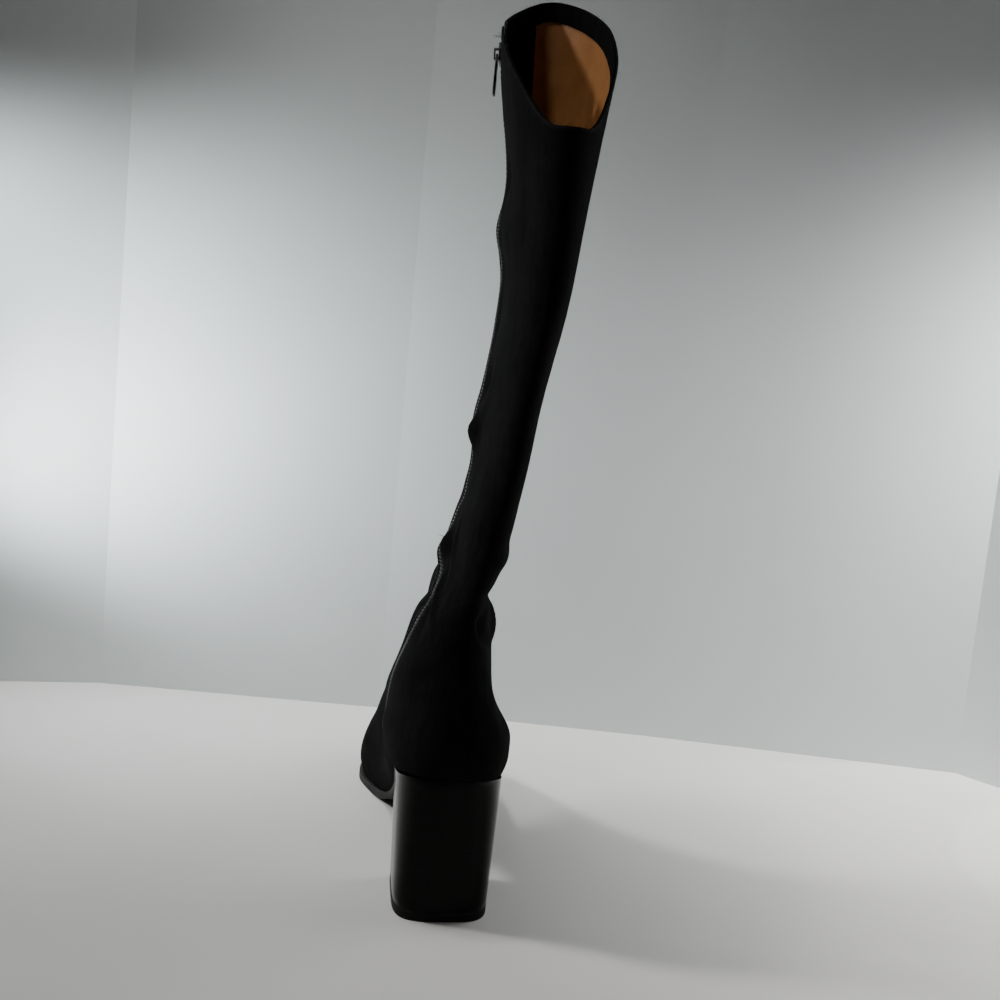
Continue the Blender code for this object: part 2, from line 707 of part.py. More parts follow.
def zip_place(frame, drop):
    """Matrix at a distance down the zip: X across it to the back, Y up along it, Z outwards."""
    middle = (frame.one_edge + frame.other_edge) / 2.0
    down = distances_from_top(middle)[::-1]
    reverse = middle[::-1]
    point = Vector([np.interp(drop, down, reverse[:, axis]) for axis in range(3)])
    index = int(np.searchsorted(down, drop))
    along = Vector(reverse[index - 1] - reverse[index]).normalized()
    outward = Vector([np.interp(drop, down, frame.outward[::-1, axis]) for axis in range(3)])
    across = along.cross(outward).normalized()
    outward = across.cross(along).normalized()
    turned = Matrix((across, along, outward)).transposed().to_4x4()
    return Matrix.Translation(point) @ turned


def chain_profile(width):
    """Outer face of the zip across its width: tape, sloping step, coil, and the same back again."""
    spread = width / 2.0 - SLIT_HALF
    coil = COIL_HALF + spread
    parting = PARTING_HALF + max(spread, 0.0)
    half = [(width / 2.0 - CHAIN_SIDE_GAP, -TAPE_DROP), (coil, -TAPE_DROP),
            (coil - COIL_PROUD / 2.0, COIL_PROUD - TAPE_DROP), (parting, COIL_PROUD - TAPE_DROP)]
    return [(-offset, lift) for offset, lift in half] + half[::-1]


def make_zip_chain(material, frame):
    """The zip: tape and raised coil in one strip, its halves parted above the slider."""
    middle = (frame.one_edge + frame.other_edge) / 2.0
    from_top = distances_from_top(middle)
    ends = middle.copy()
    ends[0] += (middle[1] - middle[0]) * CHAIN_END_GAP / np.linalg.norm(middle[1] - middle[0])
    ends[-1] += (middle[-2] - middle[-1]) * FIT_GAP / np.linalg.norm(middle[-2] - middle[-1])
    rows = []
    for index, origin in enumerate(ends):
        across = frame.one_edge[index] - frame.other_edge[index]
        width = np.linalg.norm(across)
        rows.append([origin + across / width * offset + frame.outward[index] * lift
                     for offset, lift in chain_profile(width)])
    builder = bmesh.new()
    lines = extrude_rows(builder, rows, closed=False)
    inner = len(rows[0]) // 2
    parted = []
    for low, high, drop in zip(lines, lines[1:], from_top):
        if drop < SLIDER_DROP + SLIDER_LENGTH:
            corners = {low[inner - 1], low[inner], high[inner - 1], high[inner]}
            parted += [face for face in builder.faces if set(face.verts) == corners]
    bmesh.ops.delete(builder, geom=parted, context="FACES")
    built = new_object("zip_chain", builder, material)
    add_wall(built, TAPE_THICKNESS)
    return built


def box(name, low, high, material):
    """A box between two corners."""
    builder = bmesh.new()
    bmesh.ops.create_cube(builder, size=1.0)
    size = Vector(high) - Vector(low)
    bmesh.ops.scale(builder, vec=size, verts=builder.verts)
    bmesh.ops.translate(builder, vec=(Vector(low) + Vector(high)) / 2.0, verts=builder.verts)
    return new_object(name, builder, material)


def make_slider(material, place):
    """The zip's slider: front plate with turned-down sides, neck, back plate, and the bridge over it."""
    under = COIL_PROUD - TAPE_DROP + FIT_GAP
    top = under + SLIDER_PLATE
    half_length = SLIDER_LENGTH / 2.0
    back = -TAPE_DROP - TAPE_THICKNESS - FIT_GAP
    sink = SLIDER_PLATE / 3.0
    built = box("zip_slider", (-SLIDER_HALF, -half_length, under), (SLIDER_HALF, half_length, top), material)
    helpers = [
        box("neck", (-NECK_HALF, half_length - 1.5 * NECK_LENGTH, back - SLIDER_BACK_PLATE / 2.0),
            (NECK_HALF, half_length - 0.5 * NECK_LENGTH, under + sink), material),
        box("back_plate",
            (-BACK_PLATE_WIDE * SLIDER_HALF, -BACK_PLATE_LONG * half_length, back - SLIDER_BACK_PLATE),
            (BACK_PLATE_WIDE * SLIDER_HALF, BACK_PLATE_LONG * half_length, back), material),
        box("bridge_bar", (-BRIDGE_HALF, -BRIDGE_REACH, top + BRIDGE_OPENING),
            (BRIDGE_HALF, BRIDGE_REACH, top + BRIDGE_OPENING + BRIDGE_BAR), material),
    ]
    for side in (-1.0, 1.0):
        inner, outer = sorted((side * (SLIDER_HALF - FLANGE), side * (SLIDER_HALF + 0.02 * MM)))
        helpers.append(box("flange", (inner, -FLANGE_LONG * half_length, FIT_GAP - TAPE_DROP),
                           (outer, FLANGE_LONG * half_length, under + sink), material))
        near, far = sorted((side * (BRIDGE_REACH - BRIDGE_BAR), side * BRIDGE_REACH))
        helpers.append(box("bridge_leg", (-BRIDGE_HALF, near, top - sink),
                           (BRIDGE_HALF, far, top + BRIDGE_OPENING + BRIDGE_BAR / 2.0), material))
    for helper in helpers:
        union(built, helper)
        helper.matrix_world = place
    built.matrix_world = place
    return built


def pull_axis(place):
    """Matrix at the pull tab's axis, its crossbar under the bridge, turned so that the tab hangs plumb."""
    top = COIL_PROUD - TAPE_DROP + FIT_GAP + SLIDER_PLATE
    below = BRIDGE_REACH - BRIDGE_BAR - PULL_BAR - BAR_PLAY
    down = place.to_3x3().transposed() @ Vector((0.0, 0.0, -1.0))
    hang = math.atan2(-down.z, -down.y)
    return place @ Matrix.Translation((0.0, -below, top + BRIDGE_OPENING / 2.0)) @ Matrix.Rotation(hang, 4, "X")


def make_pull(material, axis):
    """The pull tab: a tapered plate hanging from a crossbar, with a window for the bridge."""
    outline = [(-PULL_HALF_TOP, PULL_BAR), (-PULL_HALF_END, PULL_CORNER - PULL_LENGTH)]
    outline += [(-PULL_HALF_END * PULL_TIP, -PULL_LENGTH), (PULL_HALF_END * PULL_TIP, -PULL_LENGTH)]
    outline += [(PULL_HALF_END, PULL_CORNER - PULL_LENGTH), (PULL_HALF_TOP, PULL_BAR)]
    builder = bmesh.new()
    face = builder.faces.new([builder.verts.new((x, y, -PULL_THICKNESS / 2.0)) for x, y in outline])
    made = bmesh.ops.extrude_face_region(builder, geom=[face])["geom"]
    lifted = [item for item in made if isinstance(item, bmesh.types.BMVert)]
    bmesh.ops.translate(builder, verts=lifted, vec=(0.0, 0.0, PULL_THICKNESS))
    built = new_object("zip_pull", builder, material)
    window = box("pull_window", (-PULL_WINDOW_HALF, -PULL_WINDOW_END, -PULL_THICKNESS),
                 (PULL_WINDOW_HALF, -PULL_BAR, PULL_THICKNESS), material)
    cut(built, window)
    built.matrix_world = axis
    window.matrix_world = axis
    return built


def main():
    """Builds the boot."""
    for old in list(bpy.data.objects):
        bpy.data.objects.remove(old, do_unlink=True)
    suede = new_material("black_suede", (0.010, 0.010, 0.011), 0.95)
    board = new_material("tan_sock", (0.36, 0.22, 0.11), 0.7)
    sole = new_material("sole_unit", (0.018, 0.018, 0.018), 0.55)
    gloss = new_material("gloss_heel", (0.006, 0.006, 0.006), 0.12)
    rubber = new_material("top_rubber", (0.012, 0.012, 0.012), 0.75)
    tape = new_material("zip_tape", (0.010, 0.010, 0.010), 0.7)
    metal = new_material("dark_metal", (0.05, 0.05, 0.055), 0.35, metallic=1.0)
    make_upper(suede)
    make_outsole(sole)
    make_insole(board)
    make_heel(gloss)
    make_top_piece(rubber)
    frame = zip_frame()
    make_zip_chain(tape, frame)
    slider_place = zip_place(frame, SLIDER_DROP)
    make_slider(metal, slider_place)
    make_pull(metal, pull_axis(slider_place))


main()
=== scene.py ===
"""The over-the-knee boot's looks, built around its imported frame.

Metres, +Z up. The toe points along +Y and +X is the outer side of the foot. Sizes named in millimetres are
multiplied by MM where they are used.
"""

import logging
import math
from dataclasses import dataclass
from enum import Enum
from typing import Callable, NamedTuple, Optional, Sequence

import bmesh
import bpy
import numpy as np
from mathutils import Matrix, Vector, noise
from mathutils.bvhtree import BVHTree
from mathutils.kdtree import KDTree


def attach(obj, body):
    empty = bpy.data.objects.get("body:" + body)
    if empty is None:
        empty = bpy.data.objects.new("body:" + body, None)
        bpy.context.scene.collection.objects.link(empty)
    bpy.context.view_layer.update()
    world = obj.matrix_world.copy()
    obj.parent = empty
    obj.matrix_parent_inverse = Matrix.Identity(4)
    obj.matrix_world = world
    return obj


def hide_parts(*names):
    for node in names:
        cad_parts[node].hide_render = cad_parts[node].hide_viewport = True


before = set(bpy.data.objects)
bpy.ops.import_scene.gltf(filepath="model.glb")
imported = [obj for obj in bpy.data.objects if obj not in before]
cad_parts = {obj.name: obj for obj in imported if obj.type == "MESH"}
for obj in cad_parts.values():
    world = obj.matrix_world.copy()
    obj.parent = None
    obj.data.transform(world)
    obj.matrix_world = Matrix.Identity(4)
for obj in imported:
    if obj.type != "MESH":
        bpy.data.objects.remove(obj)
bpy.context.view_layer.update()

MM = 0.001
BOOT = "boot"
PULL = "pull"
Triple = tuple[float, float, float]
Colour = Triple
Points = np.ndarray

logger = logging.getLogger("boot")


# ---------------------------------------------------------------------------------------------------------
# Shader node groups

class NodeKit:
    """Short ways to add and link the nodes of one node tree."""

    def __init__(self, tree: bpy.types.NodeTree) -> None:
        """Keeps the tree.

        Args:
            tree: Node tree that the nodes are added to.
        """
        self.tree = tree

    def node(self, kind: str, **settings: object) -> bpy.types.Node:
        """Adds a node.

        Args:
            kind: Blender's name of the node type.
            **settings: Attributes to set on it.

        Returns:
            The new node.
        """
        made = self.tree.nodes.new(kind)
        for name, value in settings.items():
            setattr(made, name, value)
        return made

    def link(self, source: bpy.types.NodeSocket, target: bpy.types.NodeSocket) -> None:
        """Links an output to an input."""
        self.tree.links.new(source, target)

    def noise(self, vector: bpy.types.NodeSocket, scale: float, detail: float = 2.0,
              roughness: float = 0.5) -> bpy.types.NodeSocket:
        """Noise of a scale in features per metre.

        Args:
            vector: Coordinates it is read at.
            scale: Features per metre.
            detail: Number of finer layers.
            roughness: Share of the finer layers.

        Returns:
            The noise's value.
        """
        made = self.node("ShaderNodeTexNoise")
        made.inputs["Scale"].default_value = scale
        made.inputs["Detail"].default_value = detail
        made.inputs["Roughness"].default_value = roughness
        self.link(vector, made.inputs["Vector"])
        return made.outputs[0]

    def stretched(self, vector: bpy.types.NodeSocket, scale: Triple) -> bpy.types.NodeSocket:
        """Coordinates stretched along each axis.

        Args:
            vector: Coordinates to stretch.
            scale: Factor along X, Y and Z.

        Returns:
            The stretched coordinates.
        """
        made = self.node("ShaderNodeMapping")
        made.inputs["Scale"].default_value = scale
        self.link(vector, made.inputs["Vector"])
        return made.outputs["Vector"]

    def scaled(self, vector: bpy.types.NodeSocket, factor: bpy.types.NodeSocket) -> bpy.types.NodeSocket:
        """Coordinates scaled evenly.

        Args:
            vector: Coordinates to scale.
            factor: Factor along every axis.

        Returns:
            The scaled coordinates.
        """
        made = self.node("ShaderNodeVectorMath", operation="SCALE")
        self.link(vector, made.inputs[0])
        self.link(factor, made.inputs["Scale"])
        return made.outputs[0]

    def between(self, value: bpy.types.NodeSocket, low: float, high: float, start: float = 0.0,
                end: float = 1.0) -> bpy.types.NodeSocket:
        """Brings a value from low..high to start..end, held at both ends.

        Args:
            value: Value to bring over.
            low: Value that gives start.
            high: Value that gives end.
            start: First result.
            end: Last result.

        Returns:
            The mapped value.
        """
        made = self.node("ShaderNodeMapRange")
        for name, number in (("From Min", low), ("From Max", high), ("To Min", start), ("To Max", end)):
            made.inputs[name].default_value = number
        self.link(value, made.inputs["Value"])
        return made.outputs["Result"]

    def math(self, operation: str, first: bpy.types.NodeSocket,
             second: bpy.types.NodeSocket | float) -> bpy.types.NodeSocket:
        """A math node on two values.

        Args:
            operation: Blender's name of the operation.
            first: First value.
            second: Second value, a socket or a number.

        Returns:
            The result.
        """
        made = self.node("ShaderNodeMath", operation=operation)
        self.link(first, made.inputs[0])
        if isinstance(second, float):
            made.inputs[1].default_value = second
        else:
            self.link(second, made.inputs[1])
        return made.outputs[0]

    def colours(self, factor: bpy.types.NodeSocket, first: bpy.types.NodeSocket | Colour,
                second: Colour) -> bpy.types.NodeSocket:
        """A mix of two colours.

        Args:
            factor: Share of the second colour.
            first: First colour, a socket or an even one.
            second: Second colour.

        Returns:
            The mixed colour.
        """
        made = self.node("ShaderNodeMix", data_type="RGBA")
        factor_in, first_in, second_in = made.inputs[0], made.inputs[6], made.inputs[7]
        self.link(factor, factor_in)
        if isinstance(first, tuple):
            first_in.default_value = (*first, 1.0)
        else:
            self.link(first, first_in)
        second_in.default_value = (*second, 1.0)
        return made.outputs[2]

    def shaders(self, factor: bpy.types.NodeSocket, first: bpy.types.NodeSocket,
                second: bpy.types.NodeSocket) -> bpy.types.NodeSocket:
        """A mix of two shaders.

        Args:
            factor: Share of the second shader.
            first: First shader.
            second: Second shader.

        Returns:
            The mixed shader.
        """
        made = self.node("ShaderNodeMixShader")
        for source, socket in zip((factor, first, second), made.inputs):
            self.link(source, socket)
        return made.outputs[0]


def new_group(name: str, numbers: Sequence[tuple[str, float]], outputs: Sequence[str]
              ) -> tuple[bpy.types.NodeTree, NodeKit, bpy.types.Node, bpy.types.Node]:
    """A shader node group with a vector input, number inputs and number outputs.

    Args:
        name: Group's name.
        numbers: Name and default of each number input.
        outputs: Names of the outputs.

    Returns:
        The tree, its kit, and its input and output nodes.
    """
    tree = bpy.data.node_groups.new(name, "ShaderNodeTree")
    tree.interface.new_socket("Vector", in_out="INPUT", socket_type="NodeSocketVector")
    for label, default in numbers:
        socket = tree.interface.new_socket(label, in_out="INPUT", socket_type="NodeSocketFloat")
        socket.default_value = default
    for label in outputs:
        tree.interface.new_socket(label, in_out="OUTPUT", socket_type="NodeSocketFloat")
    kit = NodeKit(tree)
    return tree, kit, kit.node("NodeGroupInput"), kit.node("NodeGroupOutput")


def nap_group() -> bpy.types.NodeTree:
    """The brushed nap of microsuede: fine fibres, and patches where they lie another way.

    Returns:
        A group with the outputs Shade, the lie of the nap, and Height.
    """
    tree, kit, given, result = new_group("brushed_nap", [("Fineness", 1.0)], ["Shade", "Height"])
    at = kit.scaled(given.outputs["Vector"], given.outputs["Fineness"])
    fibres = kit.noise(kit.stretched(at, (1.0, 1.0, 0.45)), 2600.0, 3.0, 0.65)
    tufts = kit.noise(at, 700.0, 2.0)
    patches = kit.noise(kit.stretched(at, (1.0, 1.0, 0.6)), 30.0, 4.0, 0.62)
    strokes = kit.noise(kit.stretched(at, (1.0, 1.0, 0.3)), 260.0, 2.0)
    speckle = kit.noise(at, 1500.0, 2.0)
    lie = kit.math("ADD", kit.math("MULTIPLY", patches, 0.45), kit.math("MULTIPLY", strokes, 0.25))
    lie = kit.math("ADD", lie, kit.math("MULTIPLY", speckle, 0.3))
    kit.link(kit.between(lie, 0.34, 0.66), result.inputs["Shade"])
    height = kit.math("ADD", kit.math("MULTIPLY", fibres, 0.6), kit.math("MULTIPLY", tufts, 0.4))
    kit.link(height, result.inputs["Height"])
    return tree


def grain_group() -> bpy.types.NodeTree:
    """Fine leather or moulded grain with pores.

    Returns:
        A group with the outputs Shade and Height.
    """
    tree, kit, given, result = new_group("fine_grain", [("Size", 1.0)], ["Shade", "Height"])
    at = kit.scaled(given.outputs["Vector"], given.outputs["Size"])
    cells = kit.node("ShaderNodeTexVoronoi", feature="DISTANCE_TO_EDGE")
    cells.inputs["Scale"].default_value = 900.0
    kit.link(at, cells.inputs["Vector"])
    grain = kit.between(cells.outputs["Distance"], 0.0, 0.25)
    cloud = kit.noise(at, 45.0, 4.0, 0.6)
    kit.link(kit.between(cloud, 0.35, 0.65), result.inputs["Shade"])
    kit.link(kit.math("ADD", grain, kit.noise(at, 2400.0)), result.inputs["Height"])
    return tree


def dust_group() -> bpy.types.NodeTree:
    """Handling marks: faint smudges, fine scratches and specks of dust.

    Returns:
        A group with the outputs Smudge, Scratch and Speck.
    """
    tree, kit, given, result = new_group("handling_marks", [("Amount", 1.0)], ["Smudge", "Scratch", "Speck"])
    at = given.outputs["Vector"]
    smudge = kit.between(kit.noise(at, 55.0, 5.0, 0.65), 0.42, 0.72)
    streaks = kit.noise(kit.stretched(at, (1.0, 1.0, 0.035)), 1500.0, 2.0)
    scratch = kit.between(streaks, 0.66, 0.74)
    speck = kit.between(kit.noise(at, 1100.0, 0.0), 0.8, 0.86)
    for value, label in ((smudge, "Smudge"), (scratch, "Scratch"), (speck, "Speck")):
        kit.link(kit.math("MULTIPLY", value, given.outputs["Amount"]), result.inputs[label])
    return tree


class Groups:
    """The shader node groups that the finishes share, each built once."""

    def __init__(self) -> None:
        """Builds the groups."""
        self.nap = nap_group()
        self.grain = grain_group()
        self.dust = dust_group()


class Surface:
    """One material under construction: its Principled shader and short ways to feed it."""

    def __init__(self, name: str, roughness: float) -> None:
        """Starts a material.

        Args:
            name: Material's name.
            roughness: Even roughness, until something is linked there.
        """
        self.material = bpy.data.materials.new(name)
        self.material.use_nodes = True
        self.kit = NodeKit(self.material.node_tree)
        self.shader = self.material.node_tree.nodes["Principled BSDF"]
        self.shader.inputs["Roughness"].default_value = roughness
        self.coordinates = self.kit.node("ShaderNodeTexCoord")

    @property
    def place(self) -> bpy.types.NodeSocket:
        """Object coordinates."""
        return self.coordinates.outputs["Object"]

    def attribute(self, name: str) -> bpy.types.NodeSocket:
        """Value of one of the mesh's own attributes."""
        return self.kit.node("ShaderNodeAttribute", attribute_name=name).outputs["Fac"]

    def group(self, tree: bpy.types.NodeTree, **values: float) -> bpy.types.Node:
        """Places a shared node group.

        Args:
            tree: The group.
            **values: Numbers for its inputs.

        Returns:
            The group's node, fed with object coordinates.
        """
        made = self.kit.node("ShaderNodeGroup", node_tree=tree)
        self.kit.link(self.place, made.inputs["Vector"])
        for name, value in values.items():
            made.inputs[name].default_value = value
        return made

    def feed(self, source: bpy.types.NodeSocket, name: str) -> None:
        """Links a value or colour into the shader."""
        self.kit.link(source, self.shader.inputs[name])

    def roughen(self, value: bpy.types.NodeSocket, start: float, end: float) -> None:
        """Links a roughness that goes from start to end as a value goes from 0 to 1."""
        self.feed(self.kit.between(value, 0.0, 1.0, start, end), "Roughness")

    def bump(self, height: bpy.types.NodeSocket, strength: float, distance: float,
             under: Optional[bpy.types.NodeSocket] = None) -> bpy.types.NodeSocket:
        """Adds a bump and links it into the shader's normal.

        Args:
            height: Height, from 0 to about 1.
            strength: Share of the bump.
            distance: Depth in metres.
            under: Normal of a coarser bump below it.

        Returns:
            The bumped normal.
        """
        made = self.kit.node("ShaderNodeBump")
        made.inputs["Strength"].default_value = strength
        made.inputs["Distance"].default_value = distance
        self.kit.link(height, made.inputs["Height"])
        if under is not None:
            self.kit.link(under, made.inputs["Normal"])
        self.feed(made.outputs[0], "Normal")
        return made.outputs[0]

    def even(self, **values: float | Colour) -> None:
        """Sets even values on the shader; an underscore in a name stands for a space."""
        for name, value in values.items():
            socket = self.shader.inputs[name.replace("_", " ")]
            socket.default_value = (*value, 1.0) if isinstance(value, tuple) else value


# ---------------------------------------------------------------------------------------------------------
# Finishes

@dataclass(frozen=True)
class SuedeFinish:
    """Black microsuede, brushed, paler where its edges are rubbed."""

    name: str = "black_microsuede"
    deep: Colour = (0.0034, 0.0034, 0.0035)
    brushed: Colour = (0.0125, 0.0122, 0.0123)
    rubbed: Colour = (0.032, 0.031, 0.031)
    sheen: float = 0.014
    sheen_roughness: float = 0.38

    def build(self, groups: Groups) -> bpy.types.Material:
        """Makes the material.

        Args:
            groups: Shared node groups.

        Returns:
            The suede material.
        """
        surface = Surface(self.name, 0.95)
        kit = surface.kit
        nap = surface.group(groups.nap, Fineness=1.0)
        colour = kit.colours(nap.outputs["Shade"], self.deep, self.brushed)
        rub = kit.math("MULTIPLY", surface.attribute("rub"), kit.between(nap.outputs["Height"], 0.3, 0.7))
        surface.feed(kit.colours(rub, colour, self.rubbed), "Base Color")
        surface.roughen(nap.outputs["Shade"], 0.98, 0.86)
        surface.even(Sheen_Weight=self.sheen, Sheen_Roughness=self.sheen_roughness,
                     Sheen_Tint=(0.92, 0.92, 0.93), Specular_IOR_Level=0.06, IOR=1.15)
        surface.bump(nap.outputs["Height"], 0.55, 0.25 * MM)
        return surface.material


@dataclass(frozen=True)
class LiningFinish:
    """Smooth tan lining with a fine grain and cloudy colour."""

    name: str
    pale: Colour = (0.47, 0.200, 0.058)
    dark: Colour = (0.385, 0.155, 0.042)
    roughness: float = 0.62

    def build(self, groups: Groups) -> bpy.types.Material:
        """Makes the material.

        Args:
            groups: Shared node groups.

        Returns:
            The lining material.
        """
        surface = Surface(self.name, self.roughness)
        kit = surface.kit
        grain = surface.group(groups.grain, Size=1.0)
        marks = surface.group(groups.dust, Amount=1.0)
        surface.feed(kit.colours(grain.outputs["Shade"], self.dark, self.pale), "Base Color")
        surface.roughen(marks.outputs["Smudge"], self.roughness, self.roughness - 0.14)
        surface.even(Specular_IOR_Level=0.35)
        surface.bump(grain.outputs["Height"], 0.25, 0.12 * MM)
        return surface.material


@dataclass(frozen=True)
class GlossFinish:
    """Glossy black lacquer with faint smudges, hairlines and dust."""

    name: str = "black_lacquer"
    colour: Colour = (0.0018, 0.0018, 0.0018)
    dusty: Colour = (0.02, 0.02, 0.02)
    smooth: float = 0.14
    smudged: float = 0.24

    def build(self, groups: Groups) -> bpy.types.Material:
        """Makes the material.

        Args:
            groups: Shared node groups.

        Returns:
            The lacquer material.
        """
        surface = Surface(self.name, self.smooth)
        kit = surface.kit
        marks = surface.group(groups.dust, Amount=1.0)
        surface.feed(kit.colours(marks.outputs["Speck"], self.colour, self.dusty), "Base Color")
        rough = kit.math("ADD", marks.outputs["Smudge"], kit.math("MULTIPLY", marks.outputs["Scratch"], 0.5))
        surface.feed(kit.between(rough, 0.0, 1.2, self.smooth, self.smudged), "Roughness")
        surface.even(Specular_IOR_Level=0.11, IOR=1.42)
        ripple = kit.noise(surface.place, 60.0, 2.0)
        under = surface.bump(ripple, 0.12, 0.4 * MM)
        surface.bump(marks.outputs["Scratch"], 0.08, 0.02 * MM, under)
        return surface.material


@dataclass(frozen=True)
class RubberFinish:
    """Black moulded sole material, satin or matte, greyed at its worn edges."""

    name: str
    colour: Colour = (0.0055, 0.0055, 0.0058)
    worn: Colour = (0.03, 0.029, 0.028)
    roughness: float = 0.45
    grain: float = 1.0

    def build(self, groups: Groups) -> bpy.types.Material:
        """Makes the material.

        Args:
            groups: Shared node groups.

        Returns:
            The rubber material.
        """
        surface = Surface(self.name, self.roughness)
        kit = surface.kit
        grain = surface.group(groups.grain, Size=self.grain)
        marks = surface.group(groups.dust, Amount=1.0)
        scuff = kit.math("MULTIPLY", surface.attribute("rub"), kit.between(grain.outputs["Shade"], 0.1, 0.9))
        dusty = kit.math("MAXIMUM", scuff, kit.math("MULTIPLY", marks.outputs["Speck"], 0.6))
        surface.feed(kit.colours(dusty, self.colour, self.worn), "Base Color")
        surface.roughen(marks.outputs["Smudge"], self.roughness, self.roughness + 0.18)
        surface.even(Specular_IOR_Level=0.2, IOR=1.4)
        surface.bump(grain.outputs["Height"], 0.22, 0.1 * MM)
        return surface.material


@dataclass(frozen=True)
class TapeFinish:
    """Woven zip tape: a herringbone of fine yarns along the tape's own length."""

    name: str = "black_zip_tape"
    low: Colour = (0.004, 0.004, 0.004)
    high: Colour = (0.017, 0.017, 0.018)
    yarn: float = 0.45 * MM

    def build(self, groups: Groups) -> bpy.types.Material:
        """Makes the material.

        Args:
            groups: Shared node groups.

        Returns:
            The tape material.
        """
        surface = Surface(self.name, 0.8)
        kit = surface.kit
        uv = surface.coordinates.outputs["UV"]
        split = kit.node("ShaderNodeSeparateXYZ")
        kit.link(uv, split.inputs[0])
        across, along = split.outputs["X"], split.outputs["Y"]
        zigzag = kit.math("PINGPONG", across, 6.0 * self.yarn)
        slanted = kit.math("ADD", along, zigzag)
        rows = kit.math("SINE", kit.math("MULTIPLY", slanted, math.tau / (2.0 * self.yarn)), 0.0)
        warp = kit.math("SINE", kit.math("MULTIPLY", across, math.tau / self.yarn), 0.0)
        weave = kit.math("ADD", kit.between(rows, -1.0, 1.0, 0.0, 0.65),
                         kit.between(warp, -1.0, 1.0, 0.0, 0.35))
        surface.feed(kit.colours(weave, self.low, self.high), "Base Color")
        surface.even(Sheen_Weight=0.2, Sheen_Roughness=0.5, Specular_IOR_Level=0.3)
        fuzz = surface.group(groups.nap, Fineness=1.6)
        under = surface.bump(weave, 0.6, 0.12 * MM)
        surface.bump(fuzz.outputs["Height"], 0.2, 0.05 * MM, under)
        return surface.material


@dataclass(frozen=True)
class YarnFinish:
    """Twisted black thread or nylon coil."""

    name: str
    low: Colour = (0.006, 0.006, 0.006)
    high: Colour = (0.020, 0.020, 0.021)
    roughness: float = 0.6
    twist: float = 1500.0

    def build(self, groups: Groups) -> bpy.types.Material:
        """Makes the material.

        Args:
            groups: Shared node groups.

        Returns:
            The thread material.
        """
        surface = Surface(self.name, self.roughness)
        kit = surface.kit
        wave = kit.node("ShaderNodeTexWave", bands_direction="DIAGONAL")
        wave.inputs["Scale"].default_value = self.twist
        wave.inputs["Distortion"].default_value = 1.5
        kit.link(surface.place, wave.inputs["Vector"])
        nap = surface.group(groups.nap, Fineness=1.4)
        shade = kit.math("MULTIPLY", wave.outputs["Fac"],
                         kit.between(nap.outputs["Shade"], 0.0, 1.0, 0.6, 1.0))
        surface.feed(kit.colours(shade, self.low, self.high), "Base Color")
        surface.roughen(shade, self.roughness, self.roughness - 0.12)
        surface.bump(wave.outputs["Fac"], 0.35, 0.05 * MM)
        return surface.material


@dataclass(frozen=True)
class EnamelFinish:
    """Black enamel on zinc, rubbed to dull metal along its edges."""

    name: str = "black_enamel"
    enamel: Colour = (0.008, 0.008, 0.009)
    bare: Colour = (0.24, 0.235, 0.225)

    def build(self, groups: Groups) -> bpy.types.Material:
        """Makes the material.

        Args:
            groups: Shared node groups.

        Returns:
            The enamelled metal material.
        """
        surface = Surface(self.name, 0.3)
        kit = surface.kit
        marks = surface.group(groups.dust, Amount=1.0)
        grain = surface.group(groups.grain, Size=1.5)
        broken = kit.between(grain.outputs["Shade"], 0.25, 0.75)
        bare = kit.math("MULTIPLY", surface.attribute("rub"), broken)
        surface.feed(kit.colours(bare, self.enamel, self.bare), "Base Color")
        surface.feed(kit.between(bare, 0.0, 1.0), "Metallic")
        surface.roughen(marks.outputs["Smudge"], 0.26, 0.42)
        surface.bump(grain.outputs["Height"], 0.12, 0.05 * MM)
        return surface.material


# ---------------------------------------------------------------------------------------------------------
# Mesh helpers

def merged_copy(node: str) -> bmesh.types.BMesh:
    """A copy of a frame node's mesh, its loose triangles merged and paired into quads.

    Args:
        node: Name of the node.

    Returns:
        The mesh under construction.
    """
    builder = bmesh.new()
    builder.from_mesh(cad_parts[node].data)
    bmesh.ops.remove_doubles(builder, verts=builder.verts, dist=0.02 * MM)
    bmesh.ops.join_triangles(builder, faces=builder.faces, angle_face_threshold=math.pi,
                             angle_shape_threshold=math.pi, topology_influence=2.0)
    builder.normal_update()
    return builder


def evaluated(builder: bmesh.types.BMesh, kind: str, **settings: object) -> bmesh.types.BMesh:
    """Runs a modifier on a mesh under construction.

    Args:
        builder: The mesh, which is used up.
        kind: Blender's name of the modifier type.
        **settings: Attributes to set on it.

    Returns:
        The resulting mesh.
    """
    mesh = bpy.data.meshes.new("helper")
    builder.to_mesh(mesh)
    builder.free()
    helper = bpy.data.objects.new("helper", mesh)
    bpy.context.collection.objects.link(helper)
    modifier = helper.modifiers.new("helper", kind)
    for name, value in settings.items():
        setattr(modifier, name, value)
    graph = bpy.context.evaluated_depsgraph_get()
    result = bmesh.new()
    result.from_mesh(helper.evaluated_get(graph).to_mesh())
    bpy.data.objects.remove(helper, do_unlink=True)
    bpy.data.meshes.remove(mesh)
    result.normal_update()
    return result


def smoothed(builder: bmesh.types.BMesh, levels: int, crease_degrees: float = 180.0) -> bmesh.types.BMesh:
    """Subdivides a mesh into a smooth surface.

    Args:
        builder: The mesh, which is used up.
        levels: Number of subdivisions.
        crease_degrees: Edges sharper than this stay sharp.

    Returns:
        The smooth mesh.
    """
    crease = builder.edges.layers.float.new("crease_edge")
    for edge in builder.edges:
        if len(edge.link_faces) == 2 and edge.calc_face_angle() > math.radians(crease_degrees):
            edge[crease] = 1.0
    return evaluated(builder, "SUBSURF", levels=levels, render_levels=levels,
                     boundary_smooth="PRESERVE_CORNERS")


